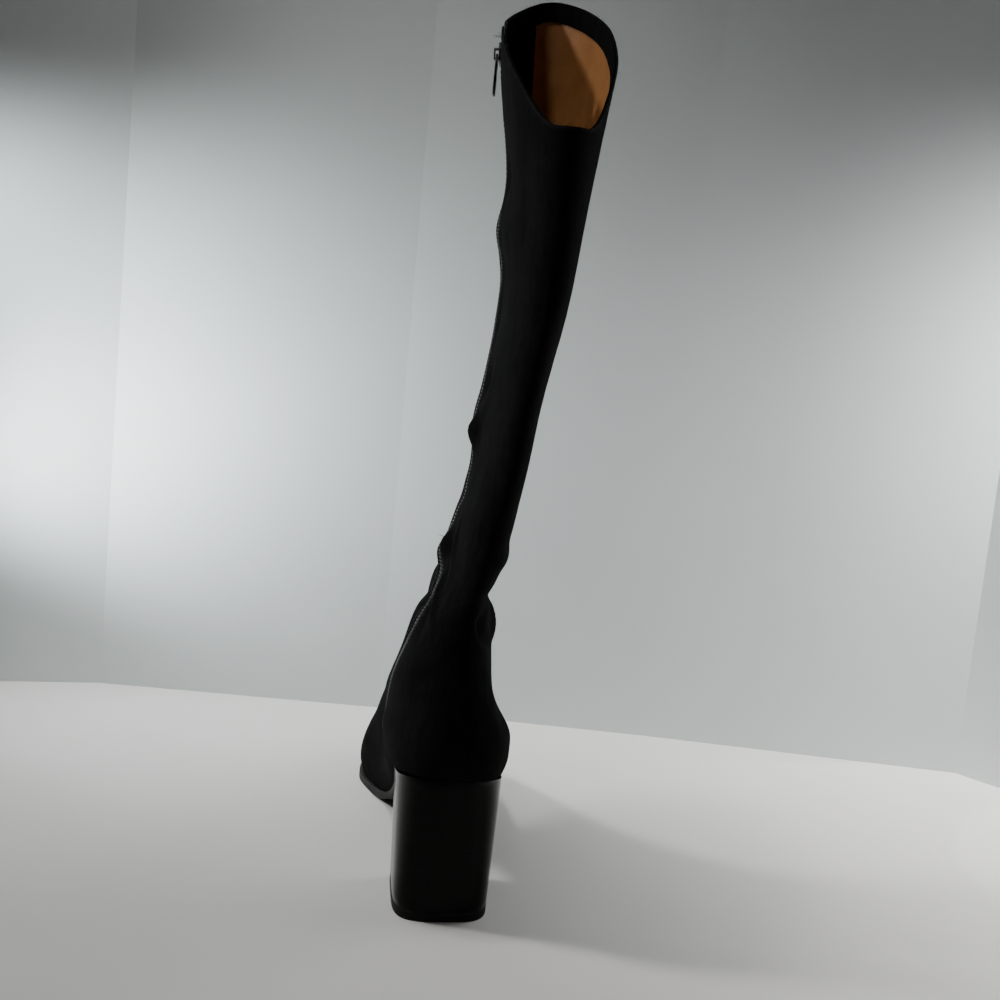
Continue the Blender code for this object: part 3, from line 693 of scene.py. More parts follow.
def rounded(builder: bmesh.types.BMesh, width: float, degrees: float) -> bmesh.types.BMesh:
    """Rounds a mesh's sharp edges.

    Args:
        builder: The mesh, which is used up.
        width: Width of the rounding.
        degrees: Edges sharper than this are rounded.

    Returns:
        The rounded mesh.
    """
    return evaluated(builder, "BEVEL", width=width, limit_method="ANGLE", angle_limit=math.radians(degrees),
                     segments=2, profile=0.5, use_clamp_overlap=True)


def shown(name: str, builder: bmesh.types.BMesh, material: bpy.types.Material,
          sharp_degrees: float) -> bpy.types.Object:
    """An object made from a mesh under construction.

    Args:
        name: Its name.
        builder: Its mesh, which is used up.
        material: Its finish.
        sharp_degrees: Edges sharper than this are shaded sharp.

    Returns:
        The object, linked into the scene.
    """
    mesh = bpy.data.meshes.new(name)
    builder.to_mesh(mesh)
    builder.free()
    mesh.shade_smooth()
    mesh.set_sharp_from_angle(angle=math.radians(sharp_degrees))
    mesh.materials.append(material)
    built = bpy.data.objects.new(name, mesh)
    bpy.context.collection.objects.link(built)
    return built


def new_piece(name: str, builder: bmesh.types.BMesh, material: bpy.types.Material,
              body: str = BOOT, sharp_degrees: float = 50.0,
              stands_for: Sequence[str] = ()) -> bpy.types.Object:
    """Makes a finished piece of the boot from a mesh under construction.

    Args:
        name: Piece's name.
        builder: Its mesh, which is used up.
        material: Its finish.
        body: Body that it rides on.
        sharp_degrees: Edges sharper than this are shaded sharp.
        stands_for: Frame nodes that it replaces.

    Returns:
        The piece.
    """
    built = shown(name, builder, material, sharp_degrees)
    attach(built, body)
    if stands_for:
        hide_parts(*stands_for)
    logger.info("%s: %d faces on %s", name, len(built.data.polygons), body)
    return built


def store_rub(built: bpy.types.Object, values: Optional[Sequence[float]] = None) -> None:
    """Stores how rubbed each vertex is, from 0 to 1.

    Args:
        built: The piece.
        values: One number for each vertex; none of them is rubbed if None.
    """
    attribute = built.data.attributes.new("rub", "FLOAT", "POINT")
    if values is not None:
        attribute.data.foreach_set("value", np.asarray(values, float))


def point_tree(points: Sequence[Vector]) -> KDTree:
    """A tree of points, to measure distances from.

    Args:
        points: The points.

    Returns:
        Their tree.
    """
    tree = KDTree(len(points))
    for index, point in enumerate(points):
        tree.insert(point, index)
    tree.balance()
    return tree


def nearness(builder: bmesh.types.BMesh, points: Sequence[Vector], reach: float) -> list[float]:
    """How near each vertex lies to the nearest of some points.

    Args:
        builder: The mesh.
        points: The points.
        reach: Distance from which a vertex no longer counts as near.

    Returns:
        One number for each vertex, 1 on a point and 0 beyond the reach.
    """
    tree = point_tree(points)
    return [max(0.0, 1.0 - tree.find(vert.co)[2] / reach) for vert in builder.verts]


def rub_sharp_edges(built: bpy.types.Object, reach: float, degrees: float = 30.0) -> None:
    """Marks the vertices near sharp edges as rubbed.

    Args:
        built: The piece.
        reach: Distance at which the rubbing ends.
        degrees: Edges sharper than this are rubbed.
    """
    builder = bmesh.new()
    builder.from_mesh(built.data)
    sharp = [vert.co for vert in builder.verts
             if any(len(edge.link_faces) == 2 and edge.calc_face_angle() > math.radians(degrees)
                    for edge in vert.link_edges)]
    store_rub(built, nearness(builder, sharp, reach))
    builder.free()


def sheet(rows: Sequence[Points]) -> bmesh.types.BMesh:
    """A sheet made by extruding a row of points to each next one, with a UV map in metres.

    Args:
        rows: Rows of points, all of one length.

    Returns:
        The mesh under construction.
    """
    builder = bmesh.new()
    line = [builder.verts.new(point) for point in rows[0]]
    edges = [builder.edges.new(pair) for pair in zip(line, line[1:])]
    layer = builder.loops.layers.uv.new("cloth")
    across = {vert: index for index, vert in enumerate(line)}
    along = {vert: 0 for vert in line}
    for number, row in enumerate(rows[1:], start=1):
        made = bmesh.ops.extrude_edge_only(builder, edges=edges)["geom"]
        new_edges = [item for item in made if isinstance(item, bmesh.types.BMEdge)]
        new_verts = {item for item in made if isinstance(item, bmesh.types.BMVert)}
        following = []
        for old, point in zip(line, row):
            vert = next(edge.other_vert(old) for edge in old.link_edges if edge.other_vert(old) in new_verts)
            vert.co = point
            across[vert] = across[old]
            along[vert] = number
            following.append(vert)
        edges = [edge for edge in new_edges if all(vert in new_verts for vert in edge.verts)]
        line = following
    lengths = np.concatenate([[0.0], np.cumsum([np.linalg.norm(np.asarray(high)[0] - np.asarray(low)[0])
                                                for low, high in zip(rows, rows[1:])])])
    widths = np.concatenate([[0.0], np.cumsum(np.linalg.norm(np.diff(np.asarray(rows[0]), axis=0), axis=1))])
    for face in builder.faces:
        for loop in face.loops:
            loop[layer].uv = (widths[across[loop.vert]], lengths[along[loop.vert]])
    return builder


def face_outwards(builder: bmesh.types.BMesh, outward: Callable[[Vector], Vector]) -> None:
    """Turns a sheet over if most of it looks the wrong way.

    Args:
        builder: The sheet.
        outward: Gives the direction that the sheet has to look in at a place.
    """
    builder.normal_update()
    seen = sum(face.calc_area() * face.normal.dot(outward(face.calc_center_median()))
               for face in builder.faces)
    if seen < 0.0:
        bmesh.ops.reverse_faces(builder, faces=builder.faces)


def thickened(builder: bmesh.types.BMesh, thickness: float) -> bmesh.types.BMesh:
    """Gives a sheet its thickness, inwards.

    Args:
        builder: The sheet, which is used up.
        thickness: Its thickness.

    Returns:
        The closed shell.
    """
    return evaluated(builder, "SOLIDIFY", thickness=thickness, offset=-1.0)


def smooth_step(value: float | Points) -> float | Points:
    """Ease from 0 to 1."""
    held = np.clip(value, 0.0, 1.0)
    return held * held * (3.0 - 2.0 * held)


# ---------------------------------------------------------------------------------------------------------
# The upper's skin and its creases

class Region(Enum):
    """Part of the boot that a spot is measured on."""

    SHAFT = "shaft"    # place is the height above the floor, angle turns round from the front
    FOOT = "foot"      # place is the distance forward, angle turns round from the top


class Spot(NamedTuple):
    """A spot on the upper: millimetres and degrees, with negative angles on the inner side."""

    place: float
    angle: float


@dataclass(frozen=True)
class Crease:
    """A soft trough along a line of spots, or a ridge where its depth is negative. Millimetres."""

    region: Region
    spots: tuple[Spot, ...]
    width: float
    depth: float


def shaft_crease(width: float, depth: float, *spots: tuple[float, float]) -> Crease:
    """A crease on the shaft, through spots of height and angle."""
    return Crease(Region.SHAFT, tuple(Spot(*spot) for spot in spots), width, depth)


def foot_crease(width: float, depth: float, *spots: tuple[float, float]) -> Crease:
    """A crease on the foot, through spots of distance forward and angle."""
    return Crease(Region.FOOT, tuple(Spot(*spot) for spot in spots), width, depth)


CREASES = (
    # Breaks across the front of the ankle, and the ridges between them
    shaft_crease(5.5, 2.3, (148, -78), (160, -40), (165, 0), (158, 42), (143, 80)),
    shaft_crease(5.0, -1.4, (169, -44), (175, -24), (178, 4), (171, 48)),
    # Slack pushed to the inner side: a fold standing out over a hollow
    shaft_crease(8.0, -5.0, (200, -116), (194, -92), (190, -66), (187, -40)),
    shaft_crease(6.0, 3.4, (166, -116), (164, -88), (161, -62), (158, -40)),
    shaft_crease(6.0, 2.0, (186, -66), (192, -20), (190, 26), (178, 66), (163, 96)),
    shaft_crease(6.0, 1.6, (214, 8), (208, 48), (192, 88), (178, 118)),
    shaft_crease(5.5, 1.6, (226, -84), (219, -52), (222, -14)),
    # Behind the ankle, over the counter
    shaft_crease(6.0, 2.4, (172, 96), (173, 130), (174, 164), (178, 196)),
    shaft_crease(6.5, -2.4, (200, 112), (197, 140), (195, 168), (197, 190)),
    shaft_crease(7.0, 1.4, (224, 96), (226, 128), (228, 160)),
    # The pocket fold on the outer side: a lobe with a sharp trough behind and under it
    shaft_crease(4.6, -3.0, (167, 118), (160, 136), (154, 146), (148, 134)),
    shaft_crease(2.8, 2.6, (177, 140), (170, 160), (163, 172), (155, 168), (146, 154), (141, 136)),
    # Upright folds on the inner side, behind the zip
    shaft_crease(2.6, -2.2, (186, -132), (176, -142), (164, -152), (150, -162)),
    shaft_crease(4.0, 2.2, (182, -116), (172, -124), (160, -134), (148, -144)),
    shaft_crease(2.6, -1.3, (212, -136), (200, -141), (190, -146), (180, -156)),
    # Dimples over the counter
    shaft_crease(5.0, -1.2, (140, 168), (131, 160), (122, 156), (112, 158)),
    shaft_crease(5.0, 1.2, (138, -176), (130, -166), (124, -152)),
    # Slack in the leg
    shaft_crease(8.0, 1.8, (238, 62), (246, 96), (262, 128), (280, 152)),
    shaft_crease(9.0, 1.3, (268, 20), (276, 58), (292, 94)),
    shaft_crease(10.0, 1.2, (306, 72), (318, 104), (338, 130)),
    shaft_crease(6.5, 4.2, (294, -118), (286, -84), (281, -50)),
    shaft_crease(8.0, -5.2, (266, -108), (258, -78), (253, -40)),
    shaft_crease(7.0, 1.2, (306, -86), (326, -76), (344, -62)),
    shaft_crease(10.0, 1.5, (336, -30), (350, 4), (356, 40), (350, 76)),
    shaft_crease(11.0, 1.6, (402, -36), (412, 2), (414, 40), (404, 74)),
    shaft_crease(7.0, 3.0, (406, -92), (400, -64), (406, -44)),
    shaft_crease(7.0, 1.4, (352, -88), (348, -66), (356, -44)),
    shaft_crease(11.0, 0.9, (360, 96), (372, 126), (378, 158)),
    # Long soft edges left by the flat box that it was packed in
    shaft_crease(9.0, -1.1, (236, 138), (300, 132), (350, 126), (396, 120)),
    shaft_crease(7.0, -1.2, (256, -12), (320, -6), (380, -4), (440, -6), (508, -8)),
    # Vamp: soft breaks behind the toes and hollows beside the instep
    foot_crease(5.0, 0.8, (128, -62), (134, -30), (137, 0), (133, 32), (126, 62)),
    foot_crease(5.0, 0.6, (146, -44), (150, -8), (147, 32)),
    foot_crease(7.0, 1.0, (96, -70), (86, -52), (80, -34)),
    foot_crease(7.0, 1.0, (98, 66), (88, 48), (80, 32)),
)


@dataclass
class Skin:
    """The upper's outer sheet, smooth and creased, and what is measured on it."""

    levels: int = 2
    wave_height: float = 0.45 * MM
    wave_length: float = 34.0 * MM
    ripple_height: float = 0.14 * MM
    ripple_length: float = 9.0 * MM
    skin_turn: float = 62.0         # degrees; sharper turns are the rims of the frame's wall
    sole_grip: float = 1.0 * MM
    sole_reach: float = 9.0 * MM
    half_slice: float = 7.0 * MM    # half of a slice that a spot's middle is read from
    ring_top: float = 0.405         # highest level where the shaft is still a whole ring
    foot_top: float = 0.13
    crease_steps: int = 6           # points of a crease for each pair of spots

    def __post_init__(self) -> None:
        """Cuts the sheet out of the frame's upper, smooths it and presses the creases in."""
        coarse = self.outer_sheet(merged_copy("upper"))
        self.builder = smoothed(coarse, self.levels)
        self.tree = BVHTree.FromBMesh(self.builder)
        self.move(self.creased())
        self.tree = BVHTree.FromBMesh(self.builder)
        self.read_edges()

    def outer_sheet(self, builder: bmesh.types.BMesh) -> bmesh.types.BMesh:
        """Keeps only the faces on the outside of the wall.

        Args:
            builder: The whole wall.

        Returns:
            The same mesh, with the outer sheet left.
        """
        seed = max(builder.faces, key=lambda face: face.calc_center_median().x)
        found = {seed}
        waiting = [seed]
        while waiting:
            face = waiting.pop()
            for edge in face.edges:
                for other in edge.link_faces:
                    turn = face.normal.angle(other.normal)
                    if other not in found and turn < math.radians(self.skin_turn):
                        found.add(other)
                        waiting.append(other)
        inner = [face for face in builder.faces if face not in found]
        bmesh.ops.delete(builder, geom=inner, context="FACES")
        return builder

    def places(self) -> Points:
        """Places of the vertices."""
        return np.array([vert.co for vert in self.builder.verts], float)

    def move(self, places: Points) -> None:
        """Moves the vertices.

        Args:
            places: New place of each vertex.
        """
        for vert, place in zip(self.builder.verts, places):
            vert.co = place
        self.builder.normal_update()

    def core(self, region: Region, place: float) -> tuple[Vector, Vector, Vector]:
        """Point in the hollow, and the two directions that a spot's angle turns between.

        Args:
            region: Shaft or foot.
            place: Height or distance forward, in metres.

        Returns:
            The point, the direction of angle 0 and that of angle 90.
        """
        verts = self.rest
        if region is Region.SHAFT:
            near = verts[np.abs(verts[:, 2] - min(place, self.ring_top)) < self.half_slice]
            low, high = near.min(axis=0), near.max(axis=0)
            middle = (low + high)[:2] / 2.0
            return Vector((*middle, place)), Vector((0.0, 1.0, 0.0)), Vector((1.0, 0.0, 0.0))
        near = verts[(np.abs(verts[:, 1] - place) < self.half_slice) & (verts[:, 2] < self.foot_top)]
        low, high = near.min(axis=0), near.max(axis=0)
        return (Vector(((low[0] + high[0]) / 2.0, place, (low[2] + high[2]) / 2.0)),
                Vector((0.0, 0.0, 1.0)), Vector((1.0, 0.0, 0.0)))

    def on_skin(self, region: Region, spot: Spot) -> Optional[Vector]:
        """Point of the sheet at a spot.

        Args:
            region: Shaft or foot.
            spot: The spot.

        Returns:
            The point, or None where the sheet is open.
        """
        origin, ahead, aside = self.core(region, spot.place * MM)
        turn = math.radians(spot.angle)
        return self.tree.ray_cast(origin, ahead * math.cos(turn) + aside * math.sin(turn))[0]

    def crease_line(self, crease: Crease) -> Points:
        """Points along a crease, on the sheet.

        Args:
            crease: The crease.

        Returns:
            Its points, a few for each pair of spots.
        """
        line = []
        for start, end in zip(crease.spots, crease.spots[1:]):
            for step in range(self.crease_steps):
                part = step / self.crease_steps
                mid = Spot(*(first + (last - first) * part for first, last in zip(start, end)))
                line.append(self.on_skin(crease.region, mid))
        line.append(self.on_skin(crease.region, crease.spots[-1]))
        return np.array([point for point in line if point is not None], float)

    def creased(self) -> Points:
        """Places of the vertices with the creases and the cloth's own unevenness.

        Returns:
            The moved places.
        """
        self.rest = self.places()
        normals = np.array([vert.normal for vert in self.builder.verts], float)
        press = np.zeros(len(self.rest))
        for crease in CREASES:
            line = self.crease_line(crease)
            best = np.full(len(self.rest), np.inf)
            share = np.zeros(len(self.rest))
            for index, (start, end) in enumerate(zip(line, line[1:])):
                run = end - start
                part = np.clip((self.rest - start) @ run / max(run @ run, 1e-12), 0.0, 1.0)
                gap = np.linalg.norm(self.rest - start - part[:, None] * run, axis=1)
                nearer = gap < best
                best[nearer] = gap[nearer]
                share[nearer] = (index + part[nearer]) / (len(line) - 1)
            # A crease dies out towards both ends
            fade = np.sin(np.pi * np.clip(share, 0.02, 0.98)) ** 0.7
            press += crease.depth * MM * fade * np.exp(-(best / (crease.width * MM)) ** 2)
        for index, place in enumerate(self.rest):
            wave = noise.noise(Vector(place) / self.wave_length)
            ripple = noise.noise(Vector(place) / self.ripple_length)
            press[index] -= wave * self.wave_height + ripple * self.ripple_height
        return self.rest - normals * (press * self.sole_fade())[:, None]

    def sole_fade(self) -> Points:
        """How free each vertex is of the sole: 0 along the feather line, 1 a little above it.

        Returns:
            One number for each vertex.
        """
        low = min(self.boundary_loops(), key=lambda loop: max(vert.co.z for vert in loop))
        forward = np.array([vert.co.y for vert in low])
        order = np.argsort(forward)
        line = np.interp(self.rest[:, 1], forward[order], np.array([vert.co.z for vert in low])[order])
        return smooth_step((self.rest[:, 2] - line - self.sole_grip) / self.sole_reach)

    def boundary_loops(self) -> list[list[bmesh.types.BMVert]]:
        """The sheet's open edges.

        Returns:
            Closed rings of vertices.
        """
        # A dict keeps its order from run to run, which a set of edges doesn't
        left = dict.fromkeys(edge for edge in self.builder.edges if edge.is_boundary)
        loops = []
        while left:
            loop = list(left.popitem()[0].verts)
            while True:
                following = next((item for item in loop[-1].link_edges if item in left), None)
                if following is None:
                    break
                del left[following]
                loop.append(following.other_vert(loop[-1]))
            loops.append(loop[:-1])
        return loops

    def read_edges(self) -> None:
        """Finds the feather line and the cut edges, which are the collar and both sides of the slit."""
        low, high = sorted(self.boundary_loops(), key=lambda loop: max(vert.co.z for vert in loop))
        self.feather = [vert.co.copy() for vert in low]
        tops = [index for index, vert in enumerate(high) if len(vert.link_faces) == 1]
        ring = [vert.co.copy() for vert in high[tops[0]:] + high[:tops[0]]]
        turn = tops[1] - tops[0]
        sides = sorted((ring[:turn + 1], ring[turn:] + ring[:1]),
                       key=lambda line: max(point.z for point in line))
        slit, self.collar = sides
        lowest = min(range(len(slit)), key=lambda index: slit[index].z)
        rows = min(lowest, len(slit) - 1 - lowest)
        self.slit_edges = sorted((slit[:rows + 1], slit[::-1][:rows + 1]), key=lambda line: line[0].y)
        self.cut_edges = [*self.collar, *self.slit_edges[0], *self.slit_edges[1]]

    def nearest(self, place: Vector) -> tuple[Vector, Vector]:
        """Nearest point of the sheet and its normal."""
        point, normal = self.tree.find_nearest(place)[:2]
        return point, normal

    def copy(self, depth: float) -> bmesh.types.BMesh:
        """A copy of the sheet, sunk below it.

        Args:
            depth: Distance inwards.

        Returns:
            The copied mesh.
        """
        builder = self.builder.copy()
        normals = [vert.normal.copy() for vert in builder.verts]
        for vert, normal in zip(builder.verts, normals):
            vert.co -= normal * depth
        builder.normal_update()
        return builder


class EdgeBand:
    """Walks in from one open edge of the skin, to lay strips and stitches beside it."""

    STEP = 1.2 * MM

    def __init__(self, skin: Skin, line: Sequence[Vector], shares: Optional[Points] = None) -> None:
        """Keeps the edge and finds the way in from each of its points.

        Args:
            skin: The upper's skin.
            line: Points of the edge.
            shares: Share of every distance that is walked from each point, all of it if None.
        """
        self.shares = np.ones(len(line)) if shares is None else shares
        self.skin = skin
        self.line = list(line)
        self.inward = []
        for index, point in enumerate(self.line):
            run = self.line[min(index + 1, len(line) - 1)] - self.line[max(index - 1, 0)]
            normal = skin.nearest(point)[1]
            aside = run.cross(normal).normalized()
            ahead = skin.nearest(point + aside * self.STEP)[0] - point
            self.inward.append(aside if ahead.length > self.STEP / 2.0 else -aside)

    def lean(self, angle: float, reach: float) -> None:
        """Turns the ways in upwards, the more the nearer to the edge's top, so that the band fans out.

        Args:
            angle: Turn of the topmost one.
            reach: Length of the edge below its top that is turned.
        """
        top = max(point.z for point in self.line)
        for index, (point, aside) in enumerate(zip(self.line, self.inward)):
            normal = self.skin.nearest(point)[1]
            turned = Matrix.Rotation(angle * smooth_step(1.0 - (top - point.z) / reach), 3, normal)
            raised, lowered = turned @ aside, turned.transposed() @ aside
            self.inward[index] = raised if raised.z > lowered.z else lowered

    def row(self, distance: float, depth: float) -> Points:
        """Points beside the edge.

        Args:
            distance: How far in from the edge, along the sheet.
            depth: How far below the sheet; negative above it.

        Returns:
            One point for each point of the edge.
        """
        made = []
        for start, aside, share in zip(self.line, self.inward, self.shares):
            steps = max(1, math.ceil(distance * share / self.STEP))
            place, normal = self.skin.nearest(start)
            heading = aside
            for _ in range(steps):
                heading = (heading - normal * heading.dot(normal)).normalized()
                place, normal = self.skin.nearest(place + heading * (distance * share / steps))
            made.append(place - normal * depth)
        return np.array(made, float)

    def strip(self, distances: Sequence[float], depth: float, thickness: float) -> bmesh.types.BMesh:
        """A strip of cloth beside the edge.

        Args:
            distances: Distances in from the edge of its rows.
            depth: Depth of its outer face below the sheet.
            thickness: Its thickness, inwards.

        Returns:
            The closed strip.
        """
        rows = [self.row(distance, depth) for distance in distances]
        builder = sheet(list(np.stack(rows, axis=1)))
        face_outwards(builder, lambda place: self.skin.nearest(place)[1])
        return thickened(builder, thickness)


def along_path(path: Points, pitch: float, start: float = 0.0) -> tuple[Points, Points]:
    """Evenly spaced points on a path and the directions there.

    Args:
        path: Points of the path.
        pitch: Spacing.
        start: Distance of the first point.

    Returns:
        The points and the unit directions.
    """
    lengths = np.concatenate([[0.0], np.cumsum(np.linalg.norm(np.diff(path, axis=0), axis=1))])
    at = np.arange(start, lengths[-1], pitch)
    reach = 0.4 * pitch
    points, ahead, behind = (np.stack([np.interp(where, lengths, path[:, axis]) for axis in range(3)], axis=1)
                             for where in (at, at + reach, at - reach))
    run = ahead - behind
    return points, run / np.linalg.norm(run, axis=1)[:, None]


def scattered(template: bmesh.types.BMesh, places: Sequence[Matrix]) -> bmesh.types.BMesh:
    """Copies of a small shape, joined in one mesh.

    Args:
        template: The shape, which is used up.
        places: Matrix of each copy.

    Returns:
        The joined mesh.
    """
    source = bpy.data.meshes.new("template")
    template.to_mesh(source)
    template.free()
    builder = bmesh.new()
    for place in places:
        moved = source.copy()
        moved.transform(place)
        builder.from_mesh(moved)
        bpy.data.meshes.remove(moved)
    bpy.data.meshes.remove(source)
    return builder


def oriented(place: Vector, along: Vector, outward: Vector) -> Matrix:
    """A matrix with Y along and Z outwards at a place."""
    across = along.cross(outward).normalized()
    return Matrix.Translation(place) @ Matrix((across, along, across.cross(along))).transposed().to_4x4()


def stitch_shape(length: float, width: float) -> bmesh.types.BMesh:
    """One stitch: a short thread that dips in at both ends.

    Args:
        length: Length on the surface.
        width: Thickness of the thread.

    Returns:
        The stitch, along Y.
    """
    builder = bmesh.new()
    bmesh.ops.create_uvsphere(builder, u_segments=6, v_segments=5, radius=0.5)
    bmesh.ops.rotate(builder, verts=builder.verts, matrix=Matrix.Rotation(math.pi / 2.0, 3, "X"))
    bmesh.ops.scale(builder, verts=builder.verts, vec=(width, length, width))
    return builder


def fibre_shape(width: float, bend: float = 0.32, droop: float = 0.14) -> bmesh.types.BMesh:
    """One loose fibre, a metre long along Y, thin and bent.

    Args:
        width: Its thickness for a fibre of two millimetres.
        bend: How far its tip lies aside.
        droop: How much shorter the bend makes it.

    Returns:
        The fibre.
    """
    builder = bmesh.new()
    thick = width / (2.0 * MM)
    bmesh.ops.create_cone(builder, cap_ends=True, segments=3, radius1=thick, radius2=thick * 0.4, depth=1.0)
    bmesh.ops.rotate(builder, verts=builder.verts, matrix=Matrix.Rotation(-math.pi / 2.0, 3, "X"))
    bmesh.ops.translate(builder, verts=builder.verts, vec=(0.0, 0.5, 0.0))
    for cut in (0.25, 0.5, 0.75):
        bmesh.ops.bisect_plane(builder, geom=[*builder.verts, *builder.edges, *builder.faces],
                               plane_co=(0.0, cut, 0.0), plane_no=(0.0, 1.0, 0.0))
    for vert in builder.verts:
        along = vert.co.y
        vert.co.x += bend * along ** 2
        vert.co.y -= droop * along ** 3
    return builder


# ---------------------------------------------------------------------------------------------------------
# Sub-assemblies

@dataclass
class Upper:
    """The suede upper with its lining, the facing inside the collar and the frayed edge."""

    skin: Skin
    suede: float = 1.1 * MM
    lining_depth: float = 1.25 * MM
    lining: float = 0.4 * MM
    lining_back: float = 6.0 * MM      # how far it stops short of the suede's edges
    facing_depth: float = 1.72 * MM
    facing: float = 0.35 * MM
    facing_height: float = 11.5 * MM
    facing_gap: float = 0.05 * MM      # between the collar's facing and those beside the zip
    facing_start: float = 0.1 * MM     # from the cut edge to the facing's own
    facing_rows: int = 10
    guard_width: float = 52.0 * MM     # facing in front of the zip, at the top
    guard_rear: float = 0.28           # share of it behind the zip, and in front lower down
    guard_lean: float = math.radians(32.0)    # how far its top turns up to follow the collar
    guard_fan: float = 50.0 * MM
    guard_low: float = 300.0 * MM
    guard_high: float = 430.0 * MM
    fibres: int = 3                    # for each point of the collar's edge
    fibre: float = 0.045 * MM
    tufts: tuple[float, ...] = (0.486, 0.196)    # heights where the zip's tape frays
    tuft_fibres: int = 5               # fibres of each
    nap: tuple[float, float] = (0.5 * MM, 1.9 * MM)       # shortest and longest fibre of the collar
    frays: tuple[float, float] = (4.0 * MM, 7.5 * MM)     # those of the tape
    scatter: float = 0.7 * MM          # how far a fibre grows from its point
    stray: float = 0.75                # how much it strays from its heading
    seed: int = 11
    rim_turn: float = 55.0             # degrees; sharper turns are cut edges
    edge_round: float = 0.3 * MM
    rub_reach: float = 2.2 * MM

    def dress(self, groups: Groups) -> None:
        """Builds and finishes the upper's pieces.

        Args:
            groups: Shared node groups.
        """
        suede = SuedeFinish().build(groups)
        self.build_suede(suede)
        self.build_lining(LiningFinish("tan_lining").build(groups))
        self.build_facing(suede)
        self.build_fibres(suede)

    def build_suede(self, material: bpy.types.Material) -> None:
        """The outer suede, with its cut edges rounded.

        Args:
            material: The suede finish.
        """
        builder = thickened(self.skin.copy(0.0), self.suede)
        rims = [edge for edge in builder.edges
                if len(edge.link_faces) == 2 and edge.calc_face_angle() > math.radians(self.rim_turn)]
        bmesh.ops.bevel(builder, geom=rims, offset=self.edge_round, offset_type="OFFSET", segments=2,
                        profile=0.5, affect="EDGES", material=-1)
        values = nearness(builder, self.skin.cut_edges, self.rub_reach)
        store_rub(new_piece("suede_upper", builder, material, stands_for=["upper"]), values)

    def build_lining(self, material: bpy.types.Material) -> None:
        """The tan lining, under the suede all over.

        Args:
            material: The lining finish.
        """
        builder = self.skin.copy(self.lining_depth)
        edges = point_tree([*self.skin.cut_edges, *self.skin.feather])
        near = [face for face in builder.faces
                if any(edges.find(vert.co)[2] < self.lining_back for vert in face.verts)]
        bmesh.ops.delete(builder, geom=near, context="FACES")
        new_piece("shaft_lining", thickened(builder, self.lining), material)

    def build_facing(self, material: bpy.types.Material) -> None:
        """The black facings inside the collar and beside the zip.

        Args:
            material: The suede finish.
        """
        lines = {"collar_facing": self.skin.collar, "zip_facing_rear": self.skin.slit_edges[0],
                 "zip_facing_front": self.skin.slit_edges[1]}
        for name, line in lines.items():
            collar = name == "collar_facing"
            depth = self.facing_depth + (0.0 if collar else self.facing + self.facing_gap)
            width = self.facing_height if collar else self.guard_width
            distances = np.linspace(self.facing_start, width, self.facing_rows)
            band = EdgeBand(self.skin, line, self.facing_shares(name, line))
            if not collar:
                band.lean(self.guard_lean, self.guard_fan)
            store_rub(new_piece(name, band.strip(distances, depth, self.facing), material))

    def facing_shares(self, name: str, line: Sequence[Vector]) -> Points:
        """How wide a facing is at each point: the one in front of the zip widens to the top.

        Args:
            name: The facing's name.
            line: The edge that it lies beside.

        Returns:
            Shares of its full width.
        """
        heights = np.array([point.z for point in line])
        if name == "collar_facing":
            return np.ones(len(line))
        if name == "zip_facing_rear":
            return np.full(len(line), self.guard_rear)
        rise = smooth_step((heights - self.guard_low) / (self.guard_high - self.guard_low))
        return self.guard_rear + (1.0 - self.guard_rear) * rise

    def build_fibres(self, material: bpy.types.Material) -> None:
        """Loose fibres on the collar's cut edge, and a few longer ones where the zip's tape frays.

        Args:
            material: The suede finish.
        """
        chance = np.random.default_rng(self.seed)
        places = []
        band = EdgeBand(self.skin, self.skin.collar)
        for point, inward in zip(band.line, band.inward):
            for _ in range(self.fibres):
                places.append(self.fibre_place(point, -inward, chance, float(chance.uniform(*self.nap))))
        front = EdgeBand(self.skin, self.skin.slit_edges[1])
        for height in self.tufts:
            index = min(range(len(front.line)), key=lambda number: abs(front.line[number].z - height))
            for _ in range(self.tuft_fibres):
                outward = self.skin.nearest(front.line[index])[1] - front.inward[index]
                places.append(self.fibre_place(front.line[index], outward, chance,
                                               float(chance.uniform(*self.frays))))
        builder = scattered(fibre_shape(self.fibre), places)
        store_rub(new_piece("loose_fibres", builder, material))

    def fibre_place(self, point: Vector, heading: Vector, chance: np.random.Generator,
                    length: float) -> Matrix:
        """Where one fibre grows, how long it is and which way it leans.

        Args:
            point: Point of the edge.
            heading: Direction away from the cloth.
            chance: Seeded random numbers.
            length: Its length.

        Returns:
            Its matrix.
        """
        normal = self.skin.nearest(point)[1]
        aside = Vector(chance.uniform(-self.scatter, self.scatter, 3))
        start = point + aside - normal * (self.suede * float(chance.uniform()))
        lean = heading.normalized() + Vector(chance.uniform(-self.stray, self.stray, 3))
        turned = oriented(start, lean.normalized(), normal.orthogonal().normalized() + normal)
        spin = Matrix.Rotation(float(chance.uniform(0.0, math.tau)), 4, "Y")
        return turned @ spin @ Matrix.Scale(length, 4)


